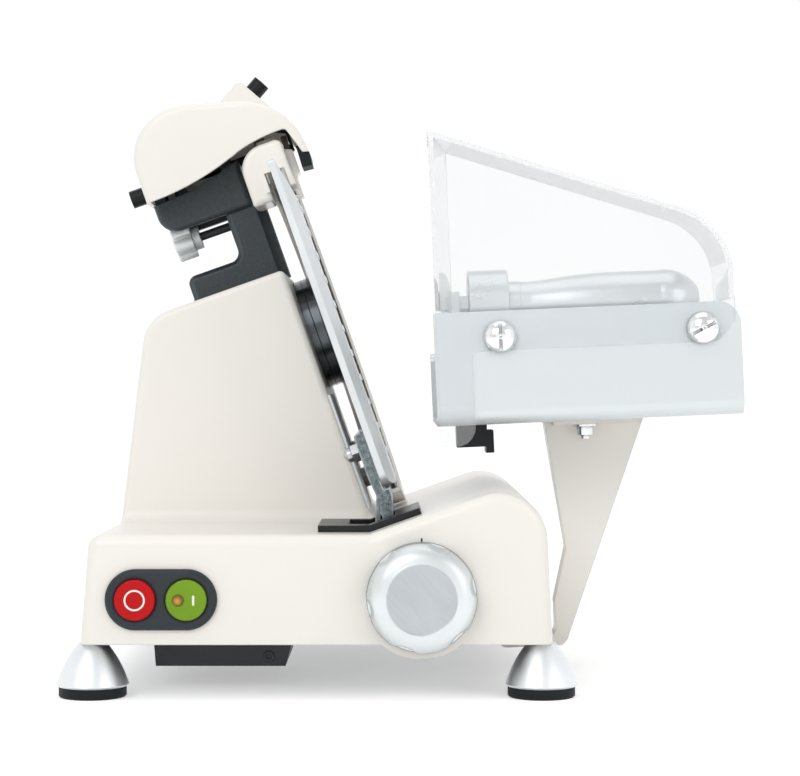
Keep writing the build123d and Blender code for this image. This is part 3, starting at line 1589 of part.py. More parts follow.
with BuildPart() as hand_guard:
    with BuildSketch(tray_side(guard_back_y)):
        with BuildLine():
            FilletPolyline(
                (hand_guard_left, tray_floor - 12.5),
                (-21, tray_floor - 12.5),
                (-21, hand_guard_lower),
                (129, hand_guard_lower),
                (hand_guard_right, hand_guard_lower + 12),
                (hand_guard_right, top_right),
                (hand_guard_left, hand_guard_top),
                radius=[2, 12, 4, 6, 6, hand_guard_radius, 2],
                close=True,
            )
        make_face()
        with Locations((-3.7, 164.4), (120.4, 164.4)):
            Circle(3, mode=Mode.SUBTRACT)
    extrude(amount=hand_guard_sheet)
    with BuildSketch(tray_side(flange_rear)):
        with BuildLine():
            FilletPolyline(
                (hand_guard_left, flange_low),
                (hand_guard_right, flange_low),
                (hand_guard_right, top_right),
                (hand_guard_left, hand_guard_top),
                radius=[0, 0, hand_guard_radius, 2],
                close=True,
            )
        make_face()
        with BuildLine():
            inner_left = hand_guard_left - 20
            inner_right = hand_guard_right - hand_guard_sheet
            FilletPolyline(
                (inner_left, flange_low - 5),
                (inner_right, flange_low - 5),
                (inner_right, top_right + hand_guard_sheet * top_fall - inner_drop),
                (inner_left, hand_guard_top + 20 * top_fall - inner_drop),
                radius=[0, 0, hand_guard_radius - hand_guard_sheet, 0],
                close=True,
            )
        make_face(mode=Mode.SUBTRACT)
    extrude(amount=flange_rear - guard_front)
    add(left_flange.part)
write(hand_guard, "hand_guard")

with BuildSketch(Plane.XZ) as screw_dome:
    with BuildLine():
        Polyline((0, 0), (guard_screw_radius, 0), (guard_screw_radius, 1.5))
        ThreePointArc((guard_screw_radius, 1.5), (guard_screw_radius * 0.62, guard_screw_height - 1.3),
                      (0, guard_screw_height))
        Line((0, guard_screw_height), (0, 0))
    make_face()
with BuildPart() as guard_screws:
    for a, slot_turn in ((-3.7, 0), (120.4, 65)):
        head = tray_side(guard_front).from_local_coords((a, 164.4, 0))
        slot_side = along_tray.rotate(Axis.Y, slot_turn)
        place = Plane(origin=head, x_dir=slot_side, z_dir=towards_front)
        with Locations(place):
            Cylinder(3, 14, align=(Align.CENTER, Align.CENTER, Align.MAX))
            add(revolve(screw_dome.sketch, axis=Axis.Z, mode=Mode.PRIVATE))
        with BuildSketch(place.offset(guard_screw_height)):
            Rectangle(guard_screw_slot, 3 * guard_screw_radius)
        extrude(amount=-3, mode=Mode.SUBTRACT)
        with Locations(place.offset(-hand_guard_sheet - hand_guard_gap - tray_sheet)):
            Cylinder(6, 4, align=(Align.CENTER, Align.CENTER, Align.MAX))
write(guard_screws, "guard_screws")

with BuildPart() as latch_block:
    with BuildSketch(tray_side(depth(82))):
        with BuildLine():
            Polyline(
                (-32, tray_floor),
                (-32, tray_floor - 14),
                (-14, tray_floor - 14),
                (-14, tray_floor - 18),
                (-9, tray_floor - 18),
                (-9, tray_floor - 4),
                (-13, tray_floor - 4),
                (-13, tray_floor),
                close=True,
            )
        make_face()
    extrude(amount=30)
write(latch_block, "latch_block")

# Food pusher: guide rod on the tray, sliding sleeve, swinging arm with spiked plate and grip
post_width = 6.0
rod_y = depth(pusher_rod_setback)
with BuildPart() as pusher_rod:
    with BuildSketch(tray_end(tray_left)):
        with Locations((rod_y, pusher_rod_height)):
            Circle(pusher_rod_radius)
    extrude(amount=tray_right - tray_left)
    for start in (tray_left, tray_right - post_width):
        with BuildSketch(tray_end(start)):
            with BuildLine():
                FilletPolyline(
                    (rod_y - 8, tray_floor + tray_sheet),
                    (rod_y + 8, tray_floor + tray_sheet),
                    (rod_y + 8, pusher_rod_height + 8),
                    (rod_y - 8, pusher_rod_height + 8),
                    radius=[0, 0, 6, 6],
                    close=True,
                )
            make_face()
        extrude(amount=post_width)
write(pusher_rod, "pusher_rod")

sleeve_start = -35.0
sleeve_length = 46.0
with BuildPart() as pusher_sleeve:
    with BuildSketch(tray_end(sleeve_start)):
        with Locations((rod_y, pusher_rod_height)):
            Circle(sleeve_radius)
    extrude(amount=sleeve_length)
    for start in (sleeve_start, sleeve_start + sleeve_length - 2):
        with BuildSketch(tray_end(start)):
            with Locations((rod_y, pusher_rod_height)):
                Circle(sleeve_radius + 2.5)
        extrude(amount=2)
    with BuildSketch(tray_end(sleeve_start - 1)):
        with Locations((rod_y, pusher_rod_height)):
            Circle(pusher_rod_radius + running)
    extrude(amount=sleeve_length + 2, mode=Mode.SUBTRACT)
write(pusher_sleeve, "pusher_sleeve")

handle_y = depth(handle_setback)
plate_face = -36.0
plate_sheet = 3.0
plate_back = plate_face + plate_sheet
arm_width = 8.0
hub_left = sleeve_start + 2 + loose
hub_length = sleeve_length - 4 - 2 * loose
with BuildPart() as pusher_arm:
    with BuildSketch(tray_end(hub_left)):
        with Locations((rod_y, pusher_rod_height)):
            Circle(pusher_hub_radius)
    extrude(amount=hub_length)
    with BuildSketch(tray_end(plate_back)):
        with BuildLine():
            Polyline(
                (rod_y, pusher_rod_height + 11),
                (handle_y + 10, handle_height + 11),
                (handle_y - 11, handle_height + 11),
                (handle_y - 11, handle_height - 11),
                (handle_y + 10, handle_height - 11),
                (rod_y, pusher_rod_height - 11),
                close=True,
            )
        make_face()
    extrude(amount=arm_width)
    with BuildSketch(tray_end(plate_back - 2)):
        with Locations((rod_y, pusher_rod_height)):
            Circle(sleeve_radius + running)
    extrude(amount=sleeve_length + 4, mode=Mode.SUBTRACT)
write(pusher_arm, "pusher_arm")

spike_pitch = (handle_height - tray_floor - 20) / 3
plate_front = depth(104)
plate_rear = depth(200)
with BuildPart() as pusher_plate:
    with BuildSketch(tray_end(plate_face)):
        with BuildLine():
            FilletPolyline(
                (plate_front, tray_floor + 8),
                (plate_rear, tray_floor + 8),
                (plate_rear, handle_height - 14),
                (handle_y + 22, handle_height + 12),
                (plate_front, handle_height + 12),
                radius=[6, 6, 8, 12, 6],
                close=True,
            )
        make_face()
    extrude(amount=plate_sheet)
    with BuildSketch(tray_end(plate_face)):
        with Locations(((plate_front + plate_rear) / 2, (tray_floor + handle_height) / 2 - 1.2)):
            with GridLocations(24, spike_pitch, 4, 3):
                Circle(2)
    extrude(amount=-spike_length, taper=18)
write(pusher_plate, "pusher_plate")

collar_start = -19.4
collar_end = 6.8
grip_end = 131.0
with BuildPart() as pusher_collar:
    with BuildSketch(tray_end(plate_back + arm_width)):
        with Locations((handle_y, handle_height)):
            RegularPolygon(9.5, 6)
    extrude(amount=collar_start - plate_back - arm_width)
    with BuildSketch(tray_end(collar_start)):
        with Locations((handle_y, handle_height)):
            Circle(collar_radius)
    extrude(amount=collar_end - collar_start)
    chamfer(pusher_collar.edges().filter_by(GeomType.CIRCLE), 0.8)
write(pusher_collar, "pusher_collar")

neck_end = 14.6 - collar_end
grip_total = grip_end - collar_end
with BuildSketch(Plane.XZ) as grip_section:
    with BuildLine():
        Polyline((0, 0), (grip_neck_radius + 0.5, 0), (grip_neck_radius + 0.5, neck_end))
        Polyline(
            (grip_neck_radius + 0.5, neck_end),
            (grip_neck_radius, neck_end),
            (grip_neck_radius, neck_end + 7),
        )
        Spline(
            (grip_neck_radius, neck_end + 7),
            (grip_radius - 1, 42),
            (grip_radius, grip_total - 26),
            tangents=((0.05, 1), (0, 1)),
        )
        ThreePointArc(
            (grip_radius, grip_total - 26),
            (grip_radius - 4.2, grip_total - 7.5),
            (grip_radius - 12, grip_total),
        )
        Polyline((grip_radius - 12, grip_total), (0, grip_total), (0, 0))
    make_face()
with BuildPart() as pusher_grip:
    spun_grip = revolve(grip_section.sketch, axis=Axis.Z, mode=Mode.PRIVATE)
    grip_start = tray_end(collar_end).from_local_coords((handle_y, handle_height, 0))
    with Locations(Plane(origin=grip_start, x_dir=(0, 1, 0), z_dir=along_tray)):
        add(spun_grip)
write(pusher_grip, "pusher_grip")
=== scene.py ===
import json
import math

import bmesh
import bpy
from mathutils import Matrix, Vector


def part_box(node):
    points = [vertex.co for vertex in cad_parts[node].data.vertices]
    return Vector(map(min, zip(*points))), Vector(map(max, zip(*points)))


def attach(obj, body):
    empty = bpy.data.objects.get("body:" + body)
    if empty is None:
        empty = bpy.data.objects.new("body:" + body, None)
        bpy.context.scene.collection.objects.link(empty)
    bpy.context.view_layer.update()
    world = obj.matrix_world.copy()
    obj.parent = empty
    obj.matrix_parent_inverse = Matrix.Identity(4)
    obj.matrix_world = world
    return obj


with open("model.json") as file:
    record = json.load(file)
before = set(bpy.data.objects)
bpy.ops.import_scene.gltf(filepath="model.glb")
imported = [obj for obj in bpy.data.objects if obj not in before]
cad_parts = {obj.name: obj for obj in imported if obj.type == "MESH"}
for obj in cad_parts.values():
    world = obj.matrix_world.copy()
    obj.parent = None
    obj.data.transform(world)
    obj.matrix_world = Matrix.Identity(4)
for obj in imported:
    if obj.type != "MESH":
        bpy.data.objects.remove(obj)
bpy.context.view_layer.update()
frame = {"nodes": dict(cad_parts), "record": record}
nodes = frame["nodes"]
scene = bpy.context.scene


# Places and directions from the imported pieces. All lengths in this file are metres.

def front_middle(node):
    """The middle of a piece's side that faces the operator."""
    low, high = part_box(node)
    point = (low + high) / 2
    point.y = low.y
    return point


def half_width(node):
    low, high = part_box(node)
    return (high.x - low.x) / 2


joints = {joint["name"]: joint for joint in frame["record"]["behaviour"]["joints"]}
BASE_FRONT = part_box("body_casting")[0].y
ACROSS = Vector(joints["blade_spin"]["axis"])
BLADE_CENTRE = Vector(joints["blade_spin"]["pos_m"])
CLAMP_CENTRE = Vector(joints["clamp_turn"]["pos_m"])
TO_FRONT = Vector((0, -1, 0))
KNOB = front_middle("thickness_knob")
KNOB_RADIUS = half_width("thickness_knob")
LENS = front_middle("pilot_lens")
LENS_RADIUS = half_width("pilot_lens")


# Materials

# The part of a noise's values that carries a drift of colour or roughness
DRIFT_START, DRIFT_END = 0.3, 0.7
ROUGH_DRIFT = 0.03
RING_ROUGH_DRIFT = 0.05
FINE_DETAIL = 2.0
BUMP_DEPTH = 0.0004
COAT_ROUGHNESS = 0.12

# Rays of the soft edges and corners, and between which values of them a mask goes from full to none
MASK_RAYS = 4
EDGE_BENT, EDGE_FLAT = 0.85, 0.997
CORNER_SHUT, CORNER_OPEN = 0.35, 0.9

# A painted edge highlight and a painted shade in corners, as multiples of the surface's colour
PAINTED_EDGE_LIGHT = 6.0
PAINTED_SHADE_DARK = 0.06
PAINTED_SHADE_REACH = 0.0022

# The knob: the border of its face, the painted shade line at its rim and the strokes of the
# brushing
KNOB_FACE_RADIUS = 0.0214
KNOB_FACE_BORDER = (KNOB_FACE_RADIUS - 0.0006, KNOB_FACE_RADIUS + 0.0002)
KNOB_RIM_SHADE = (KNOB_RADIUS - 0.0008, KNOB_RADIUS - 0.0004)
STROKE_TURN = (0, math.radians(48), 0)
STROKE_STRETCH = (14, 1, 1)
CLOUD_STRETCH = (3, 1, 1)
STROKE_SHARE, CLOUD_SHARE = 0.4, 0.6

CLAMP_SCREW_RADIUS = 0.0034
# How dark the painted shade in the clamp knob's slots and corners is, and how far it reaches.
CLAMP_PAINTED_SHADE_DARK = 0.3
CLAMP_PAINTED_SHADE_REACH = 0.004
# The lens's bright spot off its middle and its dark rim are painted light.
LENS_GLOW_SHIFT = Vector((-0.0004, 0, -0.0003))
LENS_GLOW_REACH = LENS_RADIUS * 1.05
LENS_GRAIN = 0.3
GRIP_EDGE = 0.0009


class Graph:
    """The node tree of a material or a world, with short helpers."""

    def __init__(self, owner):
        owner.use_nodes = True
        self.owner = owner
        self.tree = owner.node_tree
        self.shader = self.tree.nodes.get("Principled BSDF")

    def feed(self, socket, value):
        """Links an output to a socket, or sets a plain value on it; a plain colour is opaque."""
        if isinstance(value, bpy.types.NodeSocket):
            self.tree.links.new(value, socket)
        elif socket.type == "RGBA":
            socket.default_value = (*value, 1)
        else:
            socket.default_value = value

    def node(self, kind, sockets=None, **settings):
        """A new node with its settings, and values for its sockets by name or number."""
        made = self.tree.nodes.new(kind)
        for key, value in settings.items():
            setattr(made, key, value)
        for key, value in (sockets or {}).items():
            self.feed(made.inputs[key], value)
        return made

    def set(self, **values):
        """Feeds the main shader; an underscore stands for the space in a socket's name."""
        for key, value in values.items():
            self.feed(self.shader.inputs[key.replace("_", " ")], value)

    def place(self, stretch=(1, 1, 1), turn=(0, 0, 0)):
        """Object coordinates, turned and then drawn out along each axis."""
        here = self.node("ShaderNodeTexCoord").outputs["Object"]
        sockets = {"Scale": stretch, "Rotation": turn, "Vector": here}
        return self.node("ShaderNodeMapping", sockets, vector_type="TEXTURE").outputs["Vector"]

    def noise(self, vector, scale, detail=3.0, rough=0.5):
        sockets = {"Vector": vector, "Scale": scale, "Detail": detail, "Roughness": rough}
        return self.node("ShaderNodeTexNoise", sockets).outputs["Fac"]

    def span(self, value, low, high, start=DRIFT_START, end=DRIFT_END):
        """Numbers from low to high while value goes from start to end."""
        sockets = {"From Min": start, "From Max": end, "To Min": low, "To Max": high}
        return self.node("ShaderNodeMapRange", {"Value": value, **sockets}).outputs["Result"]

    def ramp(self, value, low, high, start=DRIFT_START, end=DRIFT_END):
        """Colours from low to high while value goes from start to end."""
        made = self.node("ShaderNodeValToRGB", {"Fac": value})
        stops = zip(made.color_ramp.elements, (start, end), (low, high))
        for element, position, colour in stops:
            element.position = position
            element.color = (*colour, 1)
        return made.outputs["Color"]

    def shades(self, value, colour, low, high, start=DRIFT_START, end=DRIFT_END):
        """A ramp between two multiples of one colour."""
        return self.ramp(value, shade(colour, low), shade(colour, high), start, end)

    def math(self, operation, *values):
        sockets = dict(enumerate(values))
        return self.node("ShaderNodeMath", sockets, operation=operation).outputs["Value"]

    def vector(self, operation, *values):
        made = self.node("ShaderNodeVectorMath", dict(enumerate(values)), operation=operation)
        return made.outputs["Value" if operation in ("LENGTH", "DOT_PRODUCT") else "Vector"]

    def mix(self, factor, first, second):
        """The first colour where factor is 0, and the second where it is 1."""
        made = self.node("ShaderNodeMix", {0: factor}, data_type="RGBA")
        colours = [socket for socket in made.inputs if socket.type == "RGBA"]
        self.feed(colours[0], first)
        self.feed(colours[1], second)
        return [socket for socket in made.outputs if socket.type == "RGBA"][0]

    def mix_shaders(self, factor, first, second):
        """The first shader where factor is 0, and the second where it is 1."""
        sockets = {0: factor, 1: first, 2: second}
        return self.node("ShaderNodeMixShader", sockets).outputs["Shader"]

    def distance(self, centre, axis):
        """Distance from the axis that goes through centre."""
        offset = self.vector("SUBTRACT", self.place(), centre)
        return self.vector("LENGTH", self.vector("CROSS_PRODUCT", offset, axis))

    def soft_edge(self, radius):
        """A normal that rounds the edges."""
        return self.node("ShaderNodeBevel", {"Radius": radius}, samples=MASK_RAYS).outputs["Normal"]

    def edge_mask(self, soft_normal, amount):
        """amount along the edges that soft_edge rounds, and 0 elsewhere; it places painted edge
        highlights.
        """
        flat = self.node("ShaderNodeNewGeometry").outputs["Normal"]
        likeness = self.vector("DOT_PRODUCT", soft_normal, flat)
        return self.span(likeness, amount, 0, EDGE_BENT, EDGE_FLAT)

    def corner_mask(self, amount, reach):
        """amount in a piece's own slots and corners, and 0 where it is open; it places painted
        shade.
        """
        made = self.node("ShaderNodeAmbientOcclusion", {"Distance": reach},
                         samples=MASK_RAYS, only_local=True)
        return self.span(made.outputs["AO"], amount, 0, CORNER_SHUT, CORNER_OPEN)

    def bump(self, height, strength, normal):
        sockets = {"Strength": strength, "Distance": BUMP_DEPTH, "Height": height, "Normal": normal}
        return self.node("ShaderNodeBump", sockets).outputs["Normal"]


def new_material(name):
    return Graph(bpy.data.materials.new(name))


def shade(colour, factor):
    return tuple(min(1.0, part * factor) for part in colour)


def grained(name, colour, rough, spread, scale, grain=0.0, grain_scale=900.0, stretch=(1, 1, 1),
            metallic=0.0, edge=0.0006, coat=0.0, specular=0.5, edge_highlight=0.0, painted_shade=0.0):
    """A surface whose colour and roughness drift with noise.

    spread is how far its colour drifts, scale how finely, grain a fine bump and edge the radius of
    its soft edges. The last two arguments set how light a painted highlight along these edges is,
    and how dark a painted shade in its slots and corners is.
    """
    g = new_material(name)
    place = g.place(stretch)
    drift = g.noise(place, scale)
    colours = g.shades(drift, colour, 1 - spread, 1 + spread)
    normal = g.soft_edge(edge)
    # Painted highlight along the soft edges, and painted shade in the piece's own slots and
    # corners.
    if edge_highlight:
        colours = g.mix(g.edge_mask(normal, edge_highlight), colours, shade(colour, PAINTED_EDGE_LIGHT))
    if painted_shade:
        colours = g.mix(g.corner_mask(painted_shade, PAINTED_SHADE_REACH), colours, shade(colour, PAINTED_SHADE_DARK))
    if grain:
        normal = g.bump(g.noise(place, grain_scale, FINE_DETAIL), grain, normal)
    g.set(Base_Color=colours, Normal=normal, Metallic=metallic, Specular_IOR_Level=specular,
          Roughness=g.span(drift, rough - ROUGH_DRIFT, rough + ROUGH_DRIFT))
    if coat:
        g.set(Coat_Weight=coat, Coat_Roughness=COAT_ROUGHNESS)
    return g.owner


def turned(name, colour, rough, spread, pitch, centre, axis):
    """Turned metal: fine rings about an axis."""
    g = new_material(name)
    spaced = g.node("ShaderNodeCombineXYZ", {"X": g.distance(centre, axis)}).outputs["Vector"]
    rings = g.noise(spaced, 1 / pitch, FINE_DETAIL, rough=0.7)
    g.set(Base_Color=g.shades(rings, colour, 1 - spread, 1 + spread), Metallic=1.0,
          Roughness=g.span(rings, rough - RING_ROUGH_DRIFT, rough + RING_ROUGH_DRIFT))
    return g.owner


def knob_metal(name, face, rim, rim_shade):
    """A brushed flat face, painted darker than the satin rim round it as reflected shade, and a
    painted shade line at the rim's back edge.
    """
    g = new_material(name)
    distance = g.distance(KNOB, TO_FRONT)
    brushed = g.noise(g.place(STROKE_STRETCH, STROKE_TURN), 620.0, FINE_DETAIL)
    clouded = g.noise(g.place(CLOUD_STRETCH, STROKE_TURN), 110.0, FINE_DETAIL)
    strokes = g.math("MULTIPLY", brushed, STROKE_SHARE)
    marks = g.math("MULTIPLY_ADD", clouded, CLOUD_SHARE, strokes)
    hatched = g.shades(marks, face, 0.955, 1.04, start=0.38, end=0.62)
    satin = g.shades(g.noise(g.place(), 45.0), rim, 0.96, 1.03)
    # The face is painted darker than the rim as reflected shade, and the line at the rim's back
    # edge is painted shade.
    colours = g.mix(g.span(distance, 0, 1, *KNOB_FACE_BORDER), hatched, satin)
    g.set(Base_Color=g.mix(g.span(distance, 0, 0.7, *KNOB_RIM_SHADE), colours, rim_shade), Metallic=1.0,
          Roughness=g.span(marks, 0.34, 0.44),
          Normal=g.bump(marks, 0.02, g.soft_edge(GRIP_EDGE)))
    return g.owner


def mottled_zinc(name, dark, light, edge_highlight_colour):
    """A dull speckled coat whose edges are painted bright as highlights."""
    g = new_material(name)
    place = g.place()
    cells = g.node("ShaderNodeTexVoronoi", {"Scale": 1300.0, "Vector": place}).outputs["Distance"]
    drift = g.noise(place, 420.0)
    speckle = g.math("MULTIPLY_ADD", cells, 0.5, drift)
    colours = g.ramp(speckle, dark, light, start=0.5, end=0.98)
    normal = g.soft_edge(0.0020)
    # The edges are painted light as highlights.
    g.set(Base_Color=g.mix(g.edge_mask(normal, 0.9), colours, edge_highlight_colour), Normal=normal,
          Roughness=g.span(drift, 0.34, 0.5), Metallic=1.0)
    return g.owner


def clamp_plastic(name, head, screw):
    """A moulded knob, dark on the screw along its axis, with painted shade in its own slots and
    corners.
    """
    g = new_material(name)
    distance = g.distance(CLAMP_CENTRE, ACROSS)
    place = g.place()
    drift = g.noise(place, 60.0)
    # Painted shade darkens the knob's own slots and corners.
    moulded = g.mix(g.corner_mask(0.2, CLAMP_PAINTED_SHADE_REACH), g.shades(drift, head, 0.95, 1.04),
                    shade(head, CLAMP_PAINTED_SHADE_DARK))
    is_screw = g.math("LESS_THAN", distance, CLAMP_SCREW_RADIUS)
    g.set(Base_Color=g.mix(is_screw, moulded, screw), Metallic=0.3,
          Roughness=g.span(drift, 0.5, 0.6),
          Normal=g.bump(g.noise(place, 900.0, FINE_DETAIL), 0.08, g.soft_edge(GRIP_EDGE)))
    return g.owner


def lens_plastic(name, bright, dark):
    """A small lens with painted light: brightest off its middle and dark round its rim."""
    g = new_material(name)
    distance = g.distance(LENS + LENS_GLOW_SHIFT, TO_FRONT)
    glow = g.math("SUBTRACT", g.span(distance, 0, 1, 0, LENS_GLOW_REACH), LENS_GRAIN / 2)
    grainy = g.math("MULTIPLY_ADD", g.noise(g.place(), 900.0), LENS_GRAIN, glow)
    g.set(Base_Color=g.ramp(grainy, bright, dark, start=0.25, end=0.8), Roughness=0.22,
          Normal=g.soft_edge(0.0008))
    return g.owner


def clear_sheet(name, dark, light):
    """Clear moulded plastic with a faint grey tone that casts no shadow."""
    g = new_material(name)
    g.set(Base_Color=g.ramp(g.noise(g.place(), 8.0), dark, light), Roughness=0.0,
          Transmission_Weight=0.92, IOR=1.3)
    is_shadow = g.node("ShaderNodeLightPath").outputs["Is Shadow Ray"]
    unshaded = g.node("ShaderNodeBsdfTransparent").outputs["BSDF"]
    g.feed(g.tree.nodes["Material Output"].inputs["Surface"],
           g.mix_shaders(is_shadow, g.shader.outputs["BSDF"], unshaded))
    return g.owner


cream = grained("cream_enamel", (0.915, 0.885, 0.83), rough=0.32, spread=0.012, scale=9.0,
                grain=0.02, grain_scale=260.0, edge=0.0012, coat=0.25)
# The slate gets a painted highlight along its edges.
slate = grained("slate_plastic", (0.026, 0.037, 0.043), rough=0.40, spread=0.22, scale=520.0,
                grain=0.5, edge=0.0022, edge_highlight=0.6)
panel = grained("panel_plastic", (0.016, 0.023, 0.029), rough=0.34, spread=0.08, scale=40.0,
                grain=0.08, grain_scale=1500.0, edge=0.0032, specular=0.4)
dark_enamel = grained("dark_enamel", (0.085, 0.096, 0.104), rough=0.20, spread=0.15, scale=60.0,
                      metallic=1.0, coat=0.3)
# The seal gets a painted highlight along its edges.
seal = grained("seal_rubber", (0.005, 0.007, 0.008), rough=0.30, spread=0.15, scale=60.0,
               specular=0.35, edge=0.0012, edge_highlight=0.6)
alu_tray = grained("tray_aluminium", (0.655, 0.695, 0.71), rough=0.42, spread=0.02, scale=18.0,
                   stretch=(7, 1, 1), metallic=0.85)
alu_cast = grained("satin_aluminium", (0.65, 0.685, 0.70), rough=0.30, spread=0.05, scale=30.0,
                   grain=0.05, grain_scale=700.0, metallic=1.0)
alu_gauge = grained("gauge_aluminium", (0.71, 0.74, 0.755), rough=0.38, spread=0.07, scale=22.0,
                    stretch=(1, 10, 1), metallic=0.5)
# The face colour is darker than the rim's, and the line colour is dark: both paint shade.
alu_knob = knob_metal("knob_aluminium", face=(0.48, 0.505, 0.528), rim=(0.71, 0.745, 0.755),
                      rim_shade=(0.16, 0.18, 0.19))
# Polished, satin and bolt steel get painted shade in their slots and corners.
chrome = grained("polished_steel", (0.84, 0.86, 0.87), rough=0.16, spread=0.02, scale=20.0,
                 metallic=1.0, painted_shade=0.95)
steel = grained("satin_steel", (0.62, 0.65, 0.665), rough=0.30, spread=0.05, scale=40.0,
                metallic=1.0, painted_shade=0.6)
bolt_steel = grained("bolt_steel", (0.52, 0.545, 0.555), rough=0.26, spread=0.05, scale=60.0,
                     metallic=1.0, painted_shade=0.95)
foot_steel = grained("foot_steel", (0.83, 0.86, 0.875), rough=0.40, spread=0.03, scale=40.0,
                     stretch=(10, 10, 1), metallic=1.0)
sheet_steel = grained("sheet_steel", (0.66, 0.70, 0.72), rough=0.36, spread=0.04, scale=26.0,
                      stretch=(1, 10, 1), metallic=0.9)
deflector_steel = grained("deflector_steel", (0.80, 0.835, 0.85), rough=0.45, spread=0.03,
                          scale=26.0, stretch=(1, 10, 1), metallic=0.3)
blade_steel = turned("blade_steel", (0.66, 0.68, 0.69), rough=0.22, spread=0.08, pitch=0.0012,
                     centre=BLADE_CENTRE, axis=ACROSS)
# The zinc's edges get painted highlights.
zinc = mottled_zinc("zinc_coat", dark=(0.055, 0.072, 0.076), light=(0.24, 0.285, 0.30),
                    edge_highlight_colour=(0.86, 0.90, 0.92))
rubber = grained("black_rubber", (0.008, 0.011, 0.012), rough=0.6, spread=0.2, scale=60.0,
                 grain=0.2, specular=0.25)
black = grained("black_plastic", (0.004, 0.006, 0.007), rough=0.36, spread=0.15, scale=50.0,
                grain=0.1, specular=0.25)
box_black = grained("box_plastic", (0.013, 0.018, 0.022), rough=0.42, spread=0.12, scale=50.0,
                    grain=0.15)
grey = grained("grey_plastic", (0.36, 0.39, 0.41), rough=0.42, spread=0.04, scale=50.0, grain=0.1)
clamp_grey = clamp_plastic("clamp_plastic", head=(0.89, 0.93, 0.945), screw=(0.05, 0.058, 0.062))
red = grained("red_plastic", (0.56, 0.003, 0.005), rough=0.34, spread=0.06, scale=45.0,
              specular=0.2, edge=0.0010)
green = grained("green_plastic", (0.175, 0.335, 0.004), rough=0.34, spread=0.06, scale=45.0,
                specular=0.35, edge=0.0010)
amber = lens_plastic("amber_lens", bright=(0.60, 0.31, 0.004), dark=(0.16, 0.085, 0.004))
stone = grained("abrasive", (0.20, 0.18, 0.165), rough=0.85, spread=0.25, scale=1400.0,
                grain=0.6, grain_scale=1800.0)
iron = grained("grey_iron", (0.10, 0.105, 0.11), rough=0.6, spread=0.12, scale=70.0, grain=0.3,
               metallic=0.4)
white = grained("white_print", (0.90, 0.90, 0.88), rough=0.5, spread=0.02, scale=90.0, edge=0.0001)
clear = clear_sheet("clear_plastic", dark=(0.885, 0.895, 0.90), light=(0.905, 0.91, 0.915))

LOOKS = {
    cream: ["body_casting", "ring_guard", "sharpener_hood", "carriage_arm", "blade_cover"],
    slate: ["sharpener_frame", "sharpener_body"],
    panel: ["button_panel"],
    dark_enamel: ["bearing_housing", "drive_flange"],
    seal: ["slot_seal"],
    alu_tray: ["tray"],
    alu_gauge: ["gauge_plate"],
    alu_cast: ["pusher_collar", "pusher_grip", "pusher_arm", "pusher_plate"],
    alu_knob: ["thickness_knob"],
    chrome: ["guard_screws", "arm_bolts"],
    bolt_steel: ["gauge_bolt"],
    foot_steel: ["foot_cones"],
    steel: ["foot_studs", "cover_screws", "housing_screws", "blade_screws", "carriage_rod",
            "gauge_rods", "knob_spindle", "motor_shaft", "pusher_rod", "bearings"],
    sheet_steel: ["bottom_cover"],
    deflector_steel: ["slice_deflector"],
    blade_steel: ["blade"],
    zinc: ["gauge_bracket"],
    rubber: ["foot_pads", "drive_belt", "cord_grommet", "hood_lip"],
    black: ["switch_block", "grind_button", "deburr_button", "latch_block"],
    box_black: ["electrics_box"],
    grey: ["gauge_slide", "thickness_cam", "pusher_sleeve", "carriage_bush"],
    clamp_grey: ["clamp_knob"],
    red: ["stop_button"],
    green: ["start_button"],
    amber: ["pilot_lens"],
    clear: ["hand_guard"],
    stone: ["grind_stone", "deburr_stone"],
    iron: ["motor", "motor_pulley", "blade_pulley"],
}
for material, names in LOOKS.items():
    for name in names:
        slots = nodes[name].data.materials
        slots.clear()
        slots.append(material)


def placed(name, data, location):
    """A new object in the scene."""
    made = bpy.data.objects.new(name, data)
    made.location = location
    scene.collection.objects.link(made)
    return made


# Small printed marks

MARK_HEIGHT = 0.0002
MARK_SINK = 0.00005
MARK_STEPS = 48
RING_OUTER_RADIUS = 0.00635
RING_INNER_RADIUS = 0.00525
BAR_RADIUS, BAR_HALF_LENGTH = 0.0007, 0.0031
BAR_SHIFT = 0.0044
TICK_RADIUS, TICK_HALF_LENGTH = 0.00045, 0.0012
TICK_GAP = 0.0008


def rounded_bar(radius, half_length):
    """An upright outline with round ends; a half_length equal to radius makes a circle."""
    points = []
    for step in range(MARK_STEPS):
        angle = 2 * math.pi * (step + 0.5) / MARK_STEPS
        run = math.copysign(half_length - radius, math.sin(angle))
        points.append((radius * math.cos(angle), radius * math.sin(angle) + run))
    return points


def circle(radius):
    return rounded_bar(radius, radius)


def printed_mark(name, place, loops, material, body):
    """A thin mark that faces the operator: an outline, or an outline and its hole."""
    depths = (MARK_SINK, MARK_SINK - MARK_HEIGHT)
    points = [(x, y, z) for y in depths for loop in loops for x, z in loop]
    front = len(loops) * MARK_STEPS
    faces = []
    for step in range(MARK_STEPS):
        after = (step + 1) % MARK_STEPS
        for start in range(0, front, MARK_STEPS):
            faces.append((start + step, start + after, front + start + after, front + start + step))
        if len(loops) == 2:
            for start in (0, front):
                hole = start + MARK_STEPS
                faces.append((start + step, start + after, hole + after, hole + step))
    if len(loops) == 1:
        faces += [tuple(range(MARK_STEPS)), tuple(range(front, front + MARK_STEPS))]
    mesh = bpy.data.meshes.new(name)
    mesh.from_pydata(points, [], faces)
    shaped = bmesh.new()
    shaped.from_mesh(mesh)
    bmesh.ops.recalc_face_normals(shaped, faces=shaped.faces)
    shaped.to_mesh(mesh)
    shaped.free()
    mesh.materials.append(material)
    piece = placed(name, mesh, place)
    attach(piece, body)


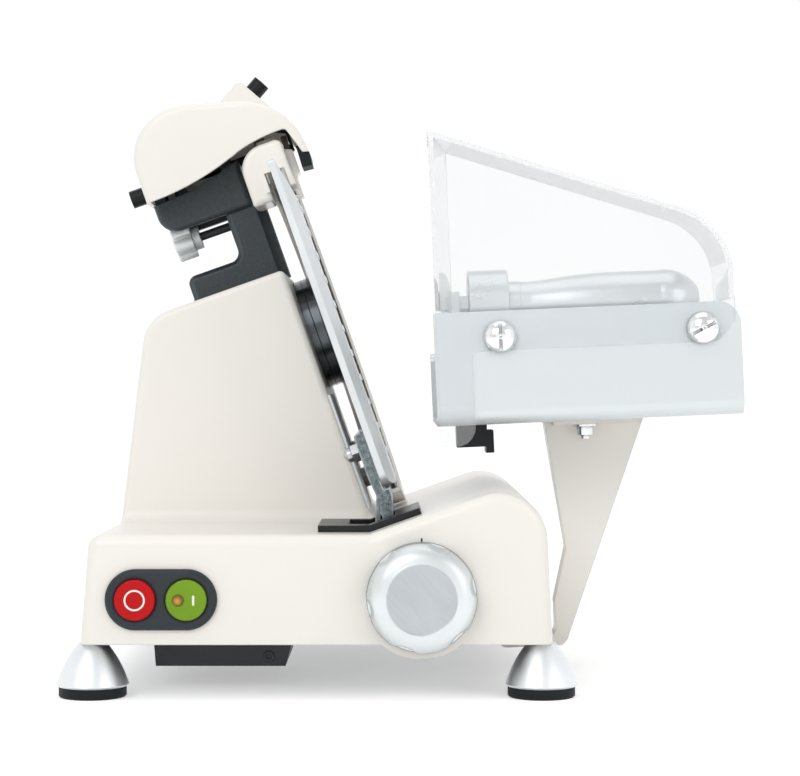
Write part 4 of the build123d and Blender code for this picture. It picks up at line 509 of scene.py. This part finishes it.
stop_face = front_middle("stop_button")
start_bar = front_middle("start_button") + Vector((BAR_SHIFT, 0, 0))
index_place = Vector((KNOB.x, BASE_FRONT, KNOB.z + KNOB_RADIUS + TICK_GAP))
printed_mark("stop_ring_mark", stop_face, [circle(RING_OUTER_RADIUS), circle(RING_INNER_RADIUS)],
             white, "stop_unit")
printed_mark("start_bar_mark", start_bar, [rounded_bar(BAR_RADIUS, BAR_HALF_LENGTH)],
             white, "start_unit")
printed_mark("knob_index_mark", index_place, [rounded_bar(TICK_RADIUS, TICK_HALF_LENGTH)],
             black, "machine")


# Stage, light and camera

WHITE = (1, 1, 1)
FLOOR_SIZE = 30
FLOOR_GLOW = 0.42
FIRST_BOUNCE = 1.5
SOFT_LIGHT = 0.68
BACKDROP_LIGHT = 1.05

# How bright the reflected studio is, and between which directions it goes from one to the other
BEHIND_LIGHT, AHEAD_LIGHT = 0.70, 1.05
BEHIND_Y, AHEAD_Y = -0.95, -0.25
LEVEL_LIGHT, OVERHEAD_LIGHT = 1.0, 0.72
LEVEL_Z, OVERHEAD_Z = 0.55, 0.9

CAMERA_X, CAMERA_Z = -0.00136, 0.1917
CAMERA_DISTANCE = 1.3
CAMERA_LENS = 97.5
CAMERA_SENSOR = 36.0
CAMERA_SHIFT = -0.01


def pale_floor(name):
    """A floor that glows a little where it is seen, through glass and in a first reflection too."""
    g = new_material(name)
    ray = g.node("ShaderNodeLightPath").outputs
    straight = g.math("MAXIMUM", ray["Is Camera Ray"], ray["Is Transmission Ray"])
    is_first = g.math("LESS_THAN", ray["Ray Depth"], FIRST_BOUNCE)
    mirrored = g.math("MULTIPLY", ray["Is Glossy Ray"], is_first)
    is_seen = g.math("MAXIMUM", straight, mirrored)
    drift = g.noise(g.place(), 3.0)
    g.set(Base_Color=g.ramp(drift, (0.94, 0.94, 0.94), (0.95, 0.95, 0.95), start=0.0, end=1.0),
          Roughness=0.9, Emission_Color=WHITE,
          Emission_Strength=g.span(is_seen, 0.0, FLOOR_GLOW, start=0.0, end=1.0))
    return g.owner


def studio_world(name):
    """Soft light on everything before a white backdrop.

    Metal reflects a white studio that is a little darker behind the camera and overhead.
    """
    g = Graph(bpy.data.worlds.new(name))
    g.tree.nodes.clear()

    def background(strength):
        sockets = {"Color": WHITE, "Strength": strength}
        return g.node("ShaderNodeBackground", sockets).outputs["Background"]

    generated = g.node("ShaderNodeTexCoord").outputs["Generated"]
    direction = g.node("ShaderNodeSeparateXYZ", {"Vector": generated}).outputs
    behind = g.span(direction["Y"], BEHIND_LIGHT, AHEAD_LIGHT, BEHIND_Y, AHEAD_Y)
    overhead = g.span(direction["Z"], LEVEL_LIGHT, OVERHEAD_LIGHT, LEVEL_Z, OVERHEAD_Z)
    reflected = background(g.math("MULTIPLY", behind, overhead))
    ray = g.node("ShaderNodeLightPath").outputs
    lit = g.mix_shaders(ray["Is Glossy Ray"], background(SOFT_LIGHT), reflected)
    is_seen = g.math("MAXIMUM", ray["Is Camera Ray"], ray["Is Transmission Ray"])
    surface = g.mix_shaders(is_seen, lit, background(BACKDROP_LIGHT))
    g.node("ShaderNodeOutputWorld", {"Surface": surface})
    return g.owner


def softbox(name, place, aim, size, power):
    light = bpy.data.lights.new(name, "AREA")
    light.shape = "RECTANGLE"
    light.size, light.size_y = size
    light.energy = power
    lamp = placed(name, light, place)
    lamp.rotation_euler = (Vector(aim) - Vector(place)).to_track_quat("-Z", "Y").to_euler()


bpy.ops.mesh.primitive_plane_add(size=FLOOR_SIZE, location=(0, 0, 0))
floor = bpy.context.object
floor.name = "floor"
floor.data.materials.append(pale_floor("pale_floor"))

scene.world = studio_world("studio")
softbox("key", place=(-0.9, -1.9, 1.5), aim=(0, 0, 0.2), size=(1.4, 1.4), power=12)
softbox("fill", place=(1.5, -1.5, 0.9), aim=(0, 0, 0.2), size=(1.2, 1.4), power=4.8)
softbox("top", place=(0.0, 0.1, 1.9), aim=(0, 0, 0), size=(1.6, 1.6), power=4.8)
softbox("low_front", place=(0.2, -2.7, 0.45), aim=(0, 0, 0.1), size=(2.4, 0.7), power=2)

camera_data = bpy.data.cameras.new("camera")
camera_data.lens = CAMERA_LENS
camera_data.sensor_width = CAMERA_SENSOR
camera_data.shift_y = CAMERA_SHIFT
camera = placed("camera", camera_data, (CAMERA_X, BASE_FRONT - CAMERA_DISTANCE, CAMERA_Z))
camera.rotation_euler = (math.radians(90), 0, 0)
scene.camera = camera
scene.view_settings.view_transform = "Standard"
